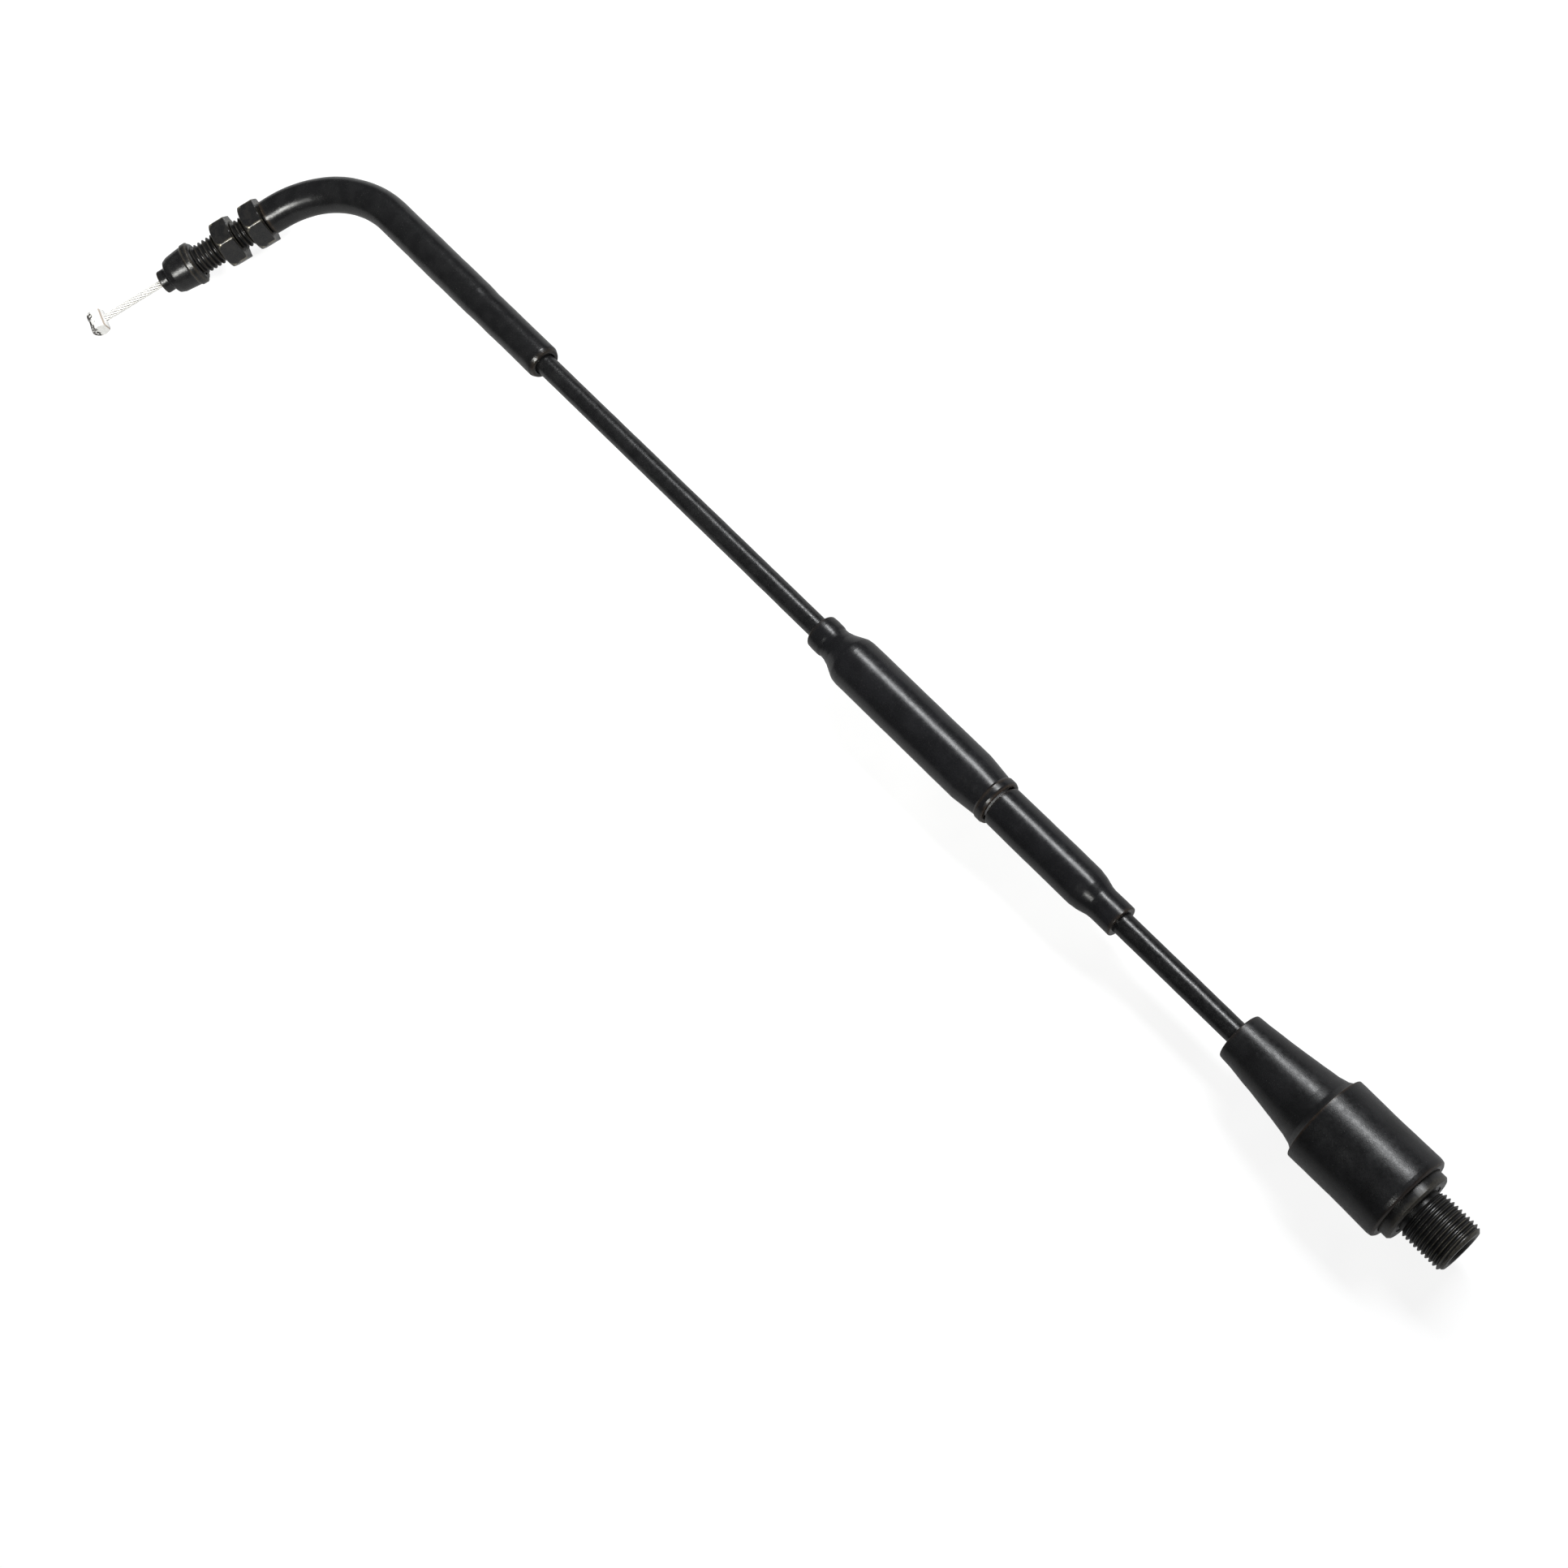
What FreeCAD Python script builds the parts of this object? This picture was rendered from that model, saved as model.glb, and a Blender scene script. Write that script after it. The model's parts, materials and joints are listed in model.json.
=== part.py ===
import FreeCAD, Part
import Sketcher
import math
import os
from FreeCAD import Placement, Rotation, Vector

# Control cable with a bent guide tube at the bracket end, an in-line adjuster
# and a swivelling threaded fitting at the twist-grip housing end.
#
# Frame: the cable lies in the XY plane, +Z up.  +X runs along the long straight
# run towards the M12 housing thread.  The origin is on the axis of that thread,
# on the seating face of its collar.  The bracket arm leaves the bend corner on
# the -Y side.

doc = FreeCAD.newDocument("control_cable")

# ------------------------------------------------------------------ dimensions
# Millimetres: (alias, value, note).  Positions on the arm are distances from the
# bend corner towards the drum nipple ("..._out").  Positions on the long run are
# X coordinates ("..._x").
SIZES = [
    ("corner_x", -373.1, "X of the corner where the arm and the long run meet"),
    ("bend_angle", 73.0, "turn of the tube, degrees"),
    ("bend_radius", 29.0, "centreline radius of the bend"),
    ("wire_rad", 0.95, "inner wire rope radius"),
    ("wire_bore_rad", 1.03, "hole that guides the inner wire"),
    ("wire_clearance", 0.02, "gap round the wire inside the nipples"),
    # drum nipple and inner wire
    ("drum_out", 77.5, "drum nipple centre"),
    ("drum_rad", 2.4, "drum nipple radius"),
    ("drum_len", 5.7, "drum nipple length"),
    ("drum_chamfer", 0.3, "chamfer of both end edges"),
    ("drum_recess_rad", 1.7, "solder recess radius"),
    ("drum_recess", 0.7, "solder recess depth"),
    ("wire_tail_out", 79.1, "wire end inside the drum nipple"),
    ("wire_break_out", 31.9, "hidden end of the sliding wire in the tube"),
    ("wire_main_x", -343.2, "hidden start of the sliding wire in the long run"),
    # dust cap on the thread end, from its nose to its open end
    ("cap_nose_out", 57.1, "end of the nose"),
    ("cap_root_out", 54.9, "root of the nose"),
    ("cap_shoulder_out", 54.05, "shoulder"),
    ("cap_dome_out", 52.75, "edge of the dome"),
    ("cap_hem_out", 48.0, "end of the skirt"),
    ("cap_bead_out", 47.1, "middle of the bead"),
    ("cap_open_out", 45.8, "open end"),
    ("cap_nose_rad", 3.1, "nose radius"),
    ("cap_shoulder_rad", 4.55, "shoulder radius"),
    ("cap_dome_rad", 5.05, "radius at the edge of the dome"),
    ("cap_hem_rad", 5.45, "radius at the end of the skirt"),
    ("cap_bead_rad", 5.8, "bead radius"),
    ("cap_bore_rad", 4.05, "grips the M8 thread"),
    ("cap_bore_out", 52.7, "closed end of the bore"),
    # bent tube with its M8 x 1.25 thread
    ("tube_rad", 4.0, "M8 thread crest and tube radius"),
    ("tube_bore_rad", 2.05, "tube bore radius"),
    ("tube_tip_out", 52.3, "threaded tip"),
    ("tube_chamfer", 0.7, "chamfer of the tip"),
    ("tube_pitch", 1.25, "M8 coarse pitch"),
    ("tube_grooves", 22, "thread turns"),
    ("tube_end_x", -314.0, "end of the tube on the long run"),
    ("bush_rad", 2.7, "mouth bush radius"),
    ("bush_len", 4.0, "mouth bush length"),
    ("bush_seat_rad", 2.75, "counterbore for the mouth bush"),
    ("bend_liner_rad", 2.0, "outside of the liner in the bent tube"),
    # M8 mounting nuts
    ("nut_flats", 12.0, "across flats"),
    ("nut_thick", 5.0, "nut thickness"),
    ("nut_bore_rad", 4.05, "0.05 mm over the thread crest"),
    ("nut_clock", 6.0, "corner angle about the axis, degrees"),
    ("front_nut_out", 38.45, "outer face of the front nut"),
    ("rear_nut_out", 29.6, "outer face of the rear nut"),
    # rubber sleeve on the bend
    ("sleeve_rad", 4.6, "outside radius on the tube"),
    ("sleeve_bore_rad", 4.05, "bore on the tube"),
    ("sleeve_start_out", 23.95, "end on the arm"),
    ("sleeve_end_x", -286.7, "end on the long run"),
    ("sleeve_neck_rad", 4.45, "over the ferrule"),
    ("sleeve_neck_bore", 3.9, "bore over the ferrule"),
    # casing: jacket, steel conduit, liner
    ("jacket_rad", 2.65, "outside of the jacket"),
    ("jacket_bore", 1.98, "inside of the jacket"),
    ("conduit_rad", 1.95, "outside of the conduit"),
    ("conduit_bore", 1.48, "inside of the conduit"),
    ("liner_rad", 1.45, "outside of the liner"),
    ("ferrule_bore", 2.69, "socket for the jacket"),
    ("tube_ferrule_rad", 3.85, "radius of the ferrule at the tube"),
    ("tube_ferrule_x", -289.5, "open end of the ferrule"),
    ("long_casing_x", -308.8, "start of the long casing"),
    ("long_casing_end_x", -160.4, "end of the long casing"),
    # in-line adjuster
    ("small_ferrule_rad", 3.2, "radius of the two adjuster ferrules"),
    ("small_ferrule_len", 9.0, "length of the two adjuster ferrules"),
    ("ferrule_nose", 1.7, "closed nose thickness"),
    ("screw_head_x", -165.0, "start of the screw head"),
    ("screw_head_len", 14.0, "screw head length"),
    ("screw_end_x", -118.0, "end of the screw"),
    ("screw_rad", 3.0, "M6 thread crest"),
    ("screw_pitch", 1.0, "M6 coarse pitch"),
    ("screw_grooves", 31, "thread turns"),
    ("screw_bore", 1.3, "hole through the screw and the barrel"),
    ("screw_clock", 15.0, "corner angle of the head, degrees"),
    ("hex_small", 8.0, "across flats, adjuster screw head and lock nut"),
    ("lock_nut_x", -139.8, "first face of the lock nut"),
    ("lock_nut_thick", 3.5, "lock nut thickness"),
    ("barrel_x", -136.2, "start of the barrel"),
    ("barrel_end_x", -98.5, "end of the barrel"),
    ("barrel_flange_len", 11.7, "length of the knurled flange"),
    ("barrel_flange_rad", 4.7, "radius of the knurled flange"),
    ("barrel_rad", 4.1, "barrel radius"),
    ("barrel_bore", 3.05, "0.05 mm over the M6 crest"),
    ("barrel_bore_end_x", -112.0, "end of the M6 bore"),
    ("barrel_socket_x", -107.0, "bottom of the ferrule socket"),
    ("socket_rad", 3.25, "ferrule socket radius"),
    ("knurls", 28, "knurl grooves"),
    ("knurl_depth", 0.3, "groove depth below the flange"),
    ("knurl_over", 0.2, "height of the cutter above the flange"),
    ("knurl_width", 0.84, "cutter width at its top"),
    # large adjuster boot
    ("boot_a_x", -182.6, "start of the boot"),
    ("boot_a_end_x", -122.3, "end of the boot"),
    ("boot_a_lip_rad", 4.37, "lip radius"),
    ("boot_a_rad", 6.33, "body radius"),
    ("boot_a_bead_rad", 5.8, "bead radius"),
    ("boot_a_bore", 4.8, "bore round the adjuster"),
    ("boot_grip", 2.7, "hole on the jacket"),
    # small adjuster boot
    ("boot_b_x", -121.9, "start of the boot"),
    ("boot_b_end_x", -84.2, "end of the boot"),
    ("boot_b_rad", 5.08, "body radius"),
    ("boot_b_neck_rad", 4.0, "neck radius"),
    ("boot_b_bore", 4.15, "bore round the barrel"),
    # short casing and its ferrules
    ("short_casing_x", -105.0, "start of the short casing"),
    ("short_casing_end_x", -21.5, "end of the short casing"),
    ("short_ferrule_x", -106.8, "closed nose of the adjuster ferrule"),
    ("swivel_ferrule_x", -40.0, "open end of the swivel ferrule"),
    ("swivel_ferrule_rad", 3.5, "swivel ferrule radius"),
    ("swivel_flange_x", -21.4, "start of the swivel flange"),
    ("swivel_flange_len", 2.0, "swivel flange thickness"),
    ("swivel_flange_rad", 4.5, "swivel flange radius"),
    # housing fitting
    ("fitting_x", -26.0, "open end on the casing side"),
    ("fitting_rad", 6.75, "fitting radius behind the collar"),
    ("fitting_cavity", 4.6, "cavity round the swivel flange"),
    ("fitting_shoulder_x", -19.2, "bottom of the cavity"),
    ("fitting_bore", 3.5, "bore through the thread"),
    ("collar_thick", 4.5, "collar thickness"),
    ("collar_rad", 8.5, "collar radius"),
    ("collar_chamfer", 0.5, "chamfer at the seating face"),
    ("relief_rad", 5.25, "thread relief radius"),
    ("relief_len", 0.8, "thread relief length"),
    ("undercut_rad", 6.25, "undercut in the collar face, clear of the thread crest"),
    ("undercut", 0.25, "undercut depth"),
    ("thread_rad", 6.0, "M12 crest"),
    ("thread_pitch", 1.0, "M12 fine pitch"),
    ("thread_grooves", 10, "thread turns"),
    ("thread_end_x", 11.3, "end of the thread"),
    ("ring_rad", 5.1, "retaining ring, sprung out"),
    ("ring_bore", 3.7, "inside of the ring"),
    ("ring_x", -22.6, "first face of the ring"),
    ("ring_thick", 1.0, "ring thickness"),
    ("ring_gap", 1.6, "width of the split"),
    ("guide_rad", 3.45, "guide bush radius"),
    ("guide_x", -19.1, "start of the guide bush"),
    ("guide_len", 3.0, "guide bush length"),
    ("nipple_x", 0.0, "end nipple start"),
    ("nipple_len", 6.0, "end nipple length"),
    ("nipple_rad", 2.9, "end nipple radius"),
    ("nipple_wire", 4.4, "length of the wire in the end nipple"),
    # housing boot
    ("boot_c_x", -49.5, "narrow end"),
    ("boot_c_step_x", -25.4, "step between cone and wide part"),
    ("boot_c_end_x", -2.5, "wide end"),
    ("boot_c_tip_rad", 5.8, "radius at the narrow end"),
    ("boot_c_root_rad", 8.9, "radius at the end of the cone"),
    ("boot_c_rad", 10.5, "radius of the wide part"),
    ("boot_c_bore", 6.8, "bore on the fitting"),
    ("boot_c_mouth", 8.6, "bore round the collar"),
]

sheet = doc.addObject("Spreadsheet::Sheet", "dims")
sheet.Label = "dims"
for row, (alias, value, note) in enumerate(SIZES, start=1):
    sheet.set("A%d" % row, alias)
    sheet.set("B%d" % row, str(value))
    sheet.set("C%d" % row, note)
    sheet.setAlias("B%d" % row, alias)
doc.recompute()


class Dim:
    """A size with its value and the expression that gives it from the sheet."""

    def __init__(self, value, text):
        self.value = float(value)
        self.text = text

    @staticmethod
    def of(other):
        return other if isinstance(other, Dim) else Dim(other, "(%r)" % float(other))

    def __add__(self, other):
        other = Dim.of(other)
        return Dim(self.value + other.value, "(%s + %s)" % (self.text, other.text))

    def __sub__(self, other):
        other = Dim.of(other)
        return Dim(self.value - other.value, "(%s - %s)" % (self.text, other.text))

    def __mul__(self, other):
        other = Dim.of(other)
        return Dim(self.value * other.value, "(%s * %s)" % (self.text, other.text))

    def __truediv__(self, other):
        other = Dim.of(other)
        return Dim(self.value / other.value, "(%s / %s)" % (self.text, other.text))

    def __neg__(self):
        return Dim(-self.value, "(0 - %s)" % self.text)


class Sizes:
    """Reads the sheet: dims.tube_rad is the Dim of the cell with that alias."""

    def __getattr__(self, alias):
        return Dim(sheet.get(alias), "dims.%s" % alias)


dims = Sizes()


# ---------------------------------------------------------------------- frames
def shifted(frame, distance):
    """The frame moved along its own X axis."""
    return frame.multiply(Placement(Vector(distance.value, 0, 0), Rotation()))


# The long run's frame is the part's own; CORNER has the same directions with its
# origin at the bend corner.
RUN = Placement(Vector(0, 0, 0), Rotation())
CORNER = shifted(RUN, dims.corner_x)
# The arm's frame: origin at the bend corner, +X along the arm towards the bend.
ARM = Placement(
    Vector(dims.corner_x.value, 0, 0), Rotation(Vector(0, 0, 1), dims.bend_angle.value))

Z_DIR = Vector(0, 0, 1)
TURN = math.radians(dims.bend_angle.value)
TANGENT = dims.bend_radius.value * math.tan(TURN / 2)  # corner to either end of the bend
TAN_30 = math.tan(math.radians(30))

nodes = []


def place(body, frame):
    """Put a finished piece in its frame and list it for export."""
    body.Placement = frame
    nodes.append(body)


# -------------------------------------------------------------- sketch helpers
def new_body(name):
    body = doc.addObject("PartDesign::Body", name)
    body.Label = name
    return body


def origin_feature(body, role):
    return next(o for o in body.Origin.OriginFeatures if o.Role == role)


def new_sketch(body, name, role="XY_Plane"):
    sketch = body.newObject("Sketcher::SketchObject", name)
    sketch.AttachmentSupport = [(origin_feature(body, role), "")]
    sketch.MapMode = "FlatFace"
    return sketch


def bind(sketch, kind, args, dim, name):
    """Add a dimension to a sketch and tie it to the sheet."""
    index = sketch.addConstraint(Sketcher.Constraint(kind, *args, dim.value))
    sketch.renameConstraint(index, name)
    sketch.setExpression("Constraints.%s" % name, dim.text)


def bind_property(feature, name, dim):
    setattr(feature, name, dim.value)
    feature.setExpression(name, dim.text)


def add_line(sketch, start, end, construction=False):
    return sketch.addGeometry(Part.LineSegment(start, end), construction)


def closed_lines(sketch, corners):
    """A closed chain of lines through (x, y) numbers."""
    count = len(corners)
    for i in range(count):
        add_line(sketch, Vector(*corners[i], 0), Vector(*corners[(i + 1) % count], 0))
    for i in range(count):
        sketch.addConstraint(Sketcher.Constraint("Coincident", i, 2, (i + 1) % count, 1))


def polygon(sketch, points):
    """A closed outline whose every corner is dimensioned from the origin."""
    corners = [(Dim.of(x), Dim.of(y)) for x, y in points]
    closed_lines(sketch, [(x.value, y.value) for x, y in corners])
    for i, (x, y) in enumerate(corners):
        if abs(x.value) < 1e-9:
            sketch.addConstraint(Sketcher.Constraint("PointOnObject", i, 1, -2))
        else:
            bind(sketch, "DistanceX", (-1, 1, i, 1), x, "px%d" % i)
        if abs(y.value) < 1e-9:
            sketch.addConstraint(Sketcher.Constraint("PointOnObject", i, 1, -1))
        else:
            bind(sketch, "DistanceY", (-1, 1, i, 1), y, "py%d" % i)


def centred_circle(sketch, radius, name="radius", construction=False):
    circle = sketch.addGeometry(
        Part.Circle(Vector(0, 0, 0), Z_DIR, radius.value), construction)
    sketch.addConstraint(Sketcher.Constraint("Coincident", circle, 3, -1, 1))
    bind(sketch, "Radius", (circle,), radius, name)
    return circle


def hexagon(sketch, flats, clock):
    """A hexagon about the origin, one corner at the clock angle in degrees."""
    radius = flats / math.sqrt(3)
    angles = [math.radians(clock.value + 60 * i) for i in range(6)]
    corners = [(radius.value * math.cos(a), radius.value * math.sin(a)) for a in angles]
    closed_lines(sketch, corners)
    circle = centred_circle(sketch, radius, "corner_radius", True)
    for i in range(6):
        sketch.addConstraint(Sketcher.Constraint("PointOnObject", i, 1, circle))
    for i in range(1, 6):
        sketch.addConstraint(Sketcher.Constraint("Equal", 0, i))
    # construction ray from the axis to the corner at the clock angle
    ray = add_line(sketch, Vector(0, 0, 0), Vector(*corners[0], 0), True)
    sketch.addConstraint(Sketcher.Constraint("Coincident", ray, 1, -1, 1))
    sketch.addConstraint(Sketcher.Constraint("Coincident", ray, 2, 0, 1))


# ------------------------------------------------------------- feature helpers
# Turned outlines are lists of (x along the axis, radius).
def band(start, end, inner, outer):
    """Outline of a plain cylinder or tube."""
    return [(start, inner), (start, outer), (end, outer), (end, inner)]


def require_cut(body, before, name):
    if not body.Shape.Volume < before - 1e-6:
        raise RuntimeError("%s cuts nothing" % name)


def turned_feature(body, kind, name, points):
    sketch = new_sketch(body, name + "_profile")
    polygon(sketch, points)
    feature = body.newObject(kind, name)
    feature.Profile = sketch
    feature.ReferenceAxis = (sketch, ["H_Axis"])
    feature.Angle = 360.0
    doc.recompute()
    return feature


def revolve(body, name, points):
    turned_feature(body, "PartDesign::Revolution", name, points)


def groove(body, name, points):
    before = body.Shape.Volume
    feature = turned_feature(body, "PartDesign::Groove", name, points)
    require_cut(body, before, name)
    return feature


def turned(name, points, frame=RUN):
    """A piece turned about its own X axis from one closed outline."""
    body = new_body(name)
    revolve(body, name + "_turn", points)
    place(body, frame)


def pad(body, name, sketch, length, symmetric=False):
    feature = body.newObject("PartDesign::Pad", name)
    feature.Profile = sketch
    bind_property(feature, "Length", length)
    if symmetric:
        feature.SideType = "Symmetric"
    doc.recompute()
    return feature


def hex_pad(body, sketch_name, pad_name, flats, clock, length):
    sketch = new_sketch(body, sketch_name, "YZ_Plane")
    hexagon(sketch, flats, clock)
    pad(body, pad_name, sketch, length)


def chamfer_corners(body, prefix, length, face_rad, reach, drop):
    """Conical chamfers on the corners at both ends of a hexagon."""
    outer = face_rad + reach
    groove(body, prefix + "_a", [(-0.01, face_rad), (-0.01, outer), (drop, outer)])
    groove(body, prefix + "_b", [
        (length + 0.01, face_rad), (length - drop, outer), (length + 0.01, outer)])


def thread_grooves(body, name, first_x, crest, pitch, count):
    """Ridges at the thread's pitch: 60 degree flanks, crest flats of an eighth of the pitch."""
    over = 0.1  # height of the cutter above the crest
    depth = pitch * 0.6134
    half = pitch * 0.4375
    cut = groove(body, name, [
        (first_x - half - over * TAN_30, crest + over),
        (first_x - half + depth * TAN_30, crest - depth),
        (first_x + half - depth * TAN_30, crest - depth),
        (first_x + half + over * TAN_30, crest + over)])
    pattern = body.newObject("PartDesign::LinearPattern", name + "_pattern")
    pattern.Originals = [cut]
    pattern.Direction = (origin_feature(body, "X_Axis"), [""])
    bind_property(pattern, "Length", pitch * (count - 1))
    pattern.Occurrences = int(count.value)
    pattern.setExpression("Occurrences", count.text)
    body.Tip = pattern
    doc.recompute()


def hex_nut(name, flats, thick, bore, clock, frame, domed=False):
    """A hexagon nut on the X axis, its first face at the frame's origin.  It is
    chamfered at both ends, or domed at the first end and nearly square at the other."""
    body = new_body(name)
    hex_pad(body, name + "_hexagon", name + "_blank", flats, clock, thick)
    groove(body, name + "_bore", band(-0.5, thick + 0.5, 0.0, bore))
    # thread lead-ins at both mouths
    groove(body, name + "_lead_a", [
        (-0.2, bore - 0.1), (-0.2, bore + 0.65), (0.55, bore - 0.1)])
    groove(body, name + "_lead_b", [
        (thick + 0.2, bore - 0.1), (thick + 0.2, bore + 0.65), (thick - 0.55, bore - 0.1)])
    face_rad = flats * 0.475
    if domed:
        groove(body, name + "_dome", [
            (-0.01, face_rad), (0.1, flats * 0.5), (0.4, flats * 0.5375),
            (0.9, flats * 0.5625), (1.75, flats * 0.581), (1.75, flats * 0.66),
            (-0.01, flats * 0.66)])
        groove(body, name + "_corner", [
            (thick + 0.01, flats * 0.56), (thick - 0.2, flats * 0.6),
            (thick + 0.01, flats * 0.6)])
    else:
        reach = flats * 0.14
        chamfer_corners(body, name + "_corner", thick, face_rad, reach, reach * TAN_30)
    place(body, frame)


# --------------------------------------------------------------- bent pieces
def bend_path(body, name, frame, arm=None, leg=None):
    """Centreline of a bent piece, drawn in ARM or CORNER directions about the bend
    corner.  Without arm and leg it is the bend alone.  Returns the sketch, its
    edges, the start point and the heading there."""
    sketch = new_sketch(body, name)
    if frame is ARM:
        out = Vector(-1, 0, 0)
        along = Vector(math.cos(TURN), -math.sin(TURN), 0)
        centre_x = -TANGENT
        start_angle = math.pi / 2 - TURN
    else:
        out = Vector(-math.cos(TURN), -math.sin(TURN), 0)
        along = Vector(1, 0, 0)
        centre_x = TANGENT
        start_angle = math.pi / 2
    radius = dims.bend_radius
    circle = Part.Circle(Vector(centre_x, -radius.value, 0), Z_DIR, radius.value)
    arc = sketch.addGeometry(
        Part.ArcOfCircle(circle, start_angle, start_angle + TURN), False)
    bind(sketch, "Radius", (arc,), radius, "bend_radius")
    if arm is None:
        # the bare arc starts at its long-run end
        doc.recompute()
        return sketch, ["Edge1"], along * TANGENT, along
    first = add_line(sketch, out * arm.value, out * TANGENT)
    last = add_line(sketch, along * TANGENT, along * leg.value)
    sketch.addConstraint(Sketcher.Constraint("Tangent", first, 2, arc, 2))
    sketch.addConstraint(Sketcher.Constraint("Tangent", last, 1, arc, 1))
    sketch.addConstraint(Sketcher.Constraint("PointOnObject", -1, 1, first))
    sketch.addConstraint(Sketcher.Constraint("PointOnObject", -1, 1, last))
    level = first if frame is ARM else last
    sketch.addConstraint(Sketcher.Constraint("Horizontal", level))
    bind(sketch, "Distance", (-1, 1, first, 1), arm, "arm_length")
    bind(sketch, "Distance", (-1, 1, last, 2), leg, "leg_length")
    doc.recompute()
    return sketch, ["Edge1", "Edge2", "Edge3"], out * arm.value, out * -1


def section(body, name, radius, start, heading):
    """A round section square to the start of a path."""
    sketch = new_sketch(body, name, "YZ_Plane")
    # the YZ plane moved to the path's start and turned square to it
    sketch.AttachmentOffset = Placement(
        Vector(start.y, 0, start.x),
        Rotation(Vector(0, 1, 0), math.degrees(math.atan2(heading.y, heading.x))))
    centred_circle(sketch, radius)
    doc.recompute()
    return sketch


def pipe(body, name, radius, path, cut=False):
    """Sweep a round section along a path, adding or cutting."""
    path_sketch, edges, start, heading = path
    profile = section(body, name + "_section", radius, start, heading)
    kind = "PartDesign::SubtractivePipe" if cut else "PartDesign::AdditivePipe"
    before = body.Shape.Volume if cut else 0.0
    feature = body.newObject(kind, name)
    feature.Profile = profile
    feature.Spine = (path_sketch, edges)
    doc.recompute()
    if cut:
        require_cut(body, before, name)


# ------------------------------------------------------------- drum nipple
# A zinc barrel across the wire, with the wire hole through its middle and a
# solder recess on the side away from the bend.
drum = new_body("drum_nipple")
drum_face = new_sketch(drum, "drum_section", "XZ_Plane")
drum_rad = dims.drum_rad
centred_circle(drum_face, drum_rad)
drum_blank = pad(drum, "drum_blank", drum_face, dims.drum_len, symmetric=True)
chamfer = drum.newObject("PartDesign::Chamfer", "drum_edges")
chamfer.Base = (drum_blank, [
    "Edge%d" % i
    for i, edge in enumerate(drum_blank.Shape.Edges, start=1)
    if hasattr(edge.Curve, "Radius")
])
bind_property(chamfer, "Size", dims.drum_chamfer)
doc.recompute()
nipple_hole = dims.wire_rad + dims.wire_clearance
recess, recess_rad = dims.drum_recess, dims.drum_recess_rad
groove(drum, "drum_hole", band(-drum_rad - 1, drum_rad + 1, 0.0, nipple_hole))
groove(drum, "drum_recess_cut", [
    (-drum_rad - 1, 0.0), (-drum_rad - 1, recess_rad),
    (-drum_rad + recess * 0.6, recess_rad),
    (-drum_rad + recess * 1.6, nipple_hole - 0.01), (-drum_rad + recess * 1.6, 0.0)])
place(drum, shifted(ARM, -dims.drum_out))

# ------------------------------------------------------------- inner wire
# One rope in the real cable.  It is split where nothing shows, so that each
# straight part can slide: the arm part, the fixed part in the bend and the
# long-run part.
wire = dims.wire_rad
turned("inner_wire_drum_side",
       band(-dims.wire_tail_out, -dims.wire_break_out, 0.0, wire), ARM)

bend_wire = new_body("inner_wire_bend")
pipe(bend_wire, "bend_wire_rope", wire, bend_path(bend_wire, "bend_wire_path", ARM))
place(bend_wire, ARM)

turned("inner_wire_main",
       band(dims.wire_main_x, dims.nipple_x + dims.nipple_wire, 0.0, wire))

# the end nipple: a plain turned slug with a solder cup at its outer end
nipple_x, nipple_rad = dims.nipple_x, dims.nipple_rad
nipple_end = nipple_x + dims.nipple_len
turned("end_nipple", [
    (nipple_x, nipple_hole), (nipple_x, nipple_rad - 0.4), (nipple_x + 0.4, nipple_rad),
    (nipple_end - 0.4, nipple_rad), (nipple_end, nipple_rad - 0.4),
    (nipple_end, 1.9), (nipple_end - 1.4, nipple_hole)])

# ------------------------------------------------------------- dust cap
wire_bore = dims.wire_bore_rad
turned("thread_dust_cap", [
    (-dims.cap_nose_out, wire_bore),
    (-dims.cap_nose_out, dims.cap_nose_rad),
    (-dims.cap_root_out, dims.cap_nose_rad),
    (-dims.cap_shoulder_out, dims.cap_shoulder_rad),
    (-dims.cap_dome_out, dims.cap_dome_rad),
    (-dims.cap_hem_out - 0.3, dims.cap_hem_rad),
    (-dims.cap_bead_out - 0.5, dims.cap_bead_rad),
    (-dims.cap_bead_out + 0.5, dims.cap_bead_rad),
    (-dims.cap_open_out - 0.4, dims.cap_bead_rad - 0.7),
    (-dims.cap_open_out, dims.cap_bore_rad + 0.5),
    (-dims.cap_open_out, dims.cap_bore_rad),
    (-dims.cap_bore_out, dims.cap_bore_rad),
    (-dims.cap_bore_out - 1.0, wire_bore + 0.9),
    (-dims.cap_nose_out + 1.2, wire_bore)], ARM)

# ------------------------------------------------------------- bent tube
tube = new_body("bent_tube")
tip, tube_rad, tip_chamfer = dims.tube_tip_out, dims.tube_rad, dims.tube_chamfer
tube_leg = dims.tube_end_x - dims.corner_x  # from the bend corner
bush_end = -tip + dims.bush_len
tube_path = bend_path(tube, "tube_path", ARM, tip, tube_leg)
pipe(tube, "tube_outer", tube_rad, tube_path)
pipe(tube, "tube_inner", dims.tube_bore_rad, tube_path, cut=True)
groove(tube, "bush_seat", band(-tip - 0.5, bush_end + 0.1, 0.0, dims.bush_seat_rad))
groove(tube, "tube_tip_chamfer", [
    (-tip - 0.1, tube_rad - tip_chamfer - 0.1), (-tip - 0.1, tube_rad + 0.5),
    (-tip + tip_chamfer + 0.5, tube_rad + 0.5)])
thread_grooves(tube, "tube_thread", -tip + 1.0, tube_rad, dims.tube_pitch, dims.tube_grooves)
place(tube, ARM)

turned("tube_mouth_bush", [
    (-tip, wire_bore + 0.5), (-tip, dims.bush_rad - 0.3), (-tip + 0.3, dims.bush_rad),
    (bush_end, dims.bush_rad), (bush_end, wire_bore), (-tip + 0.8, wire_bore)], ARM)

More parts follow.
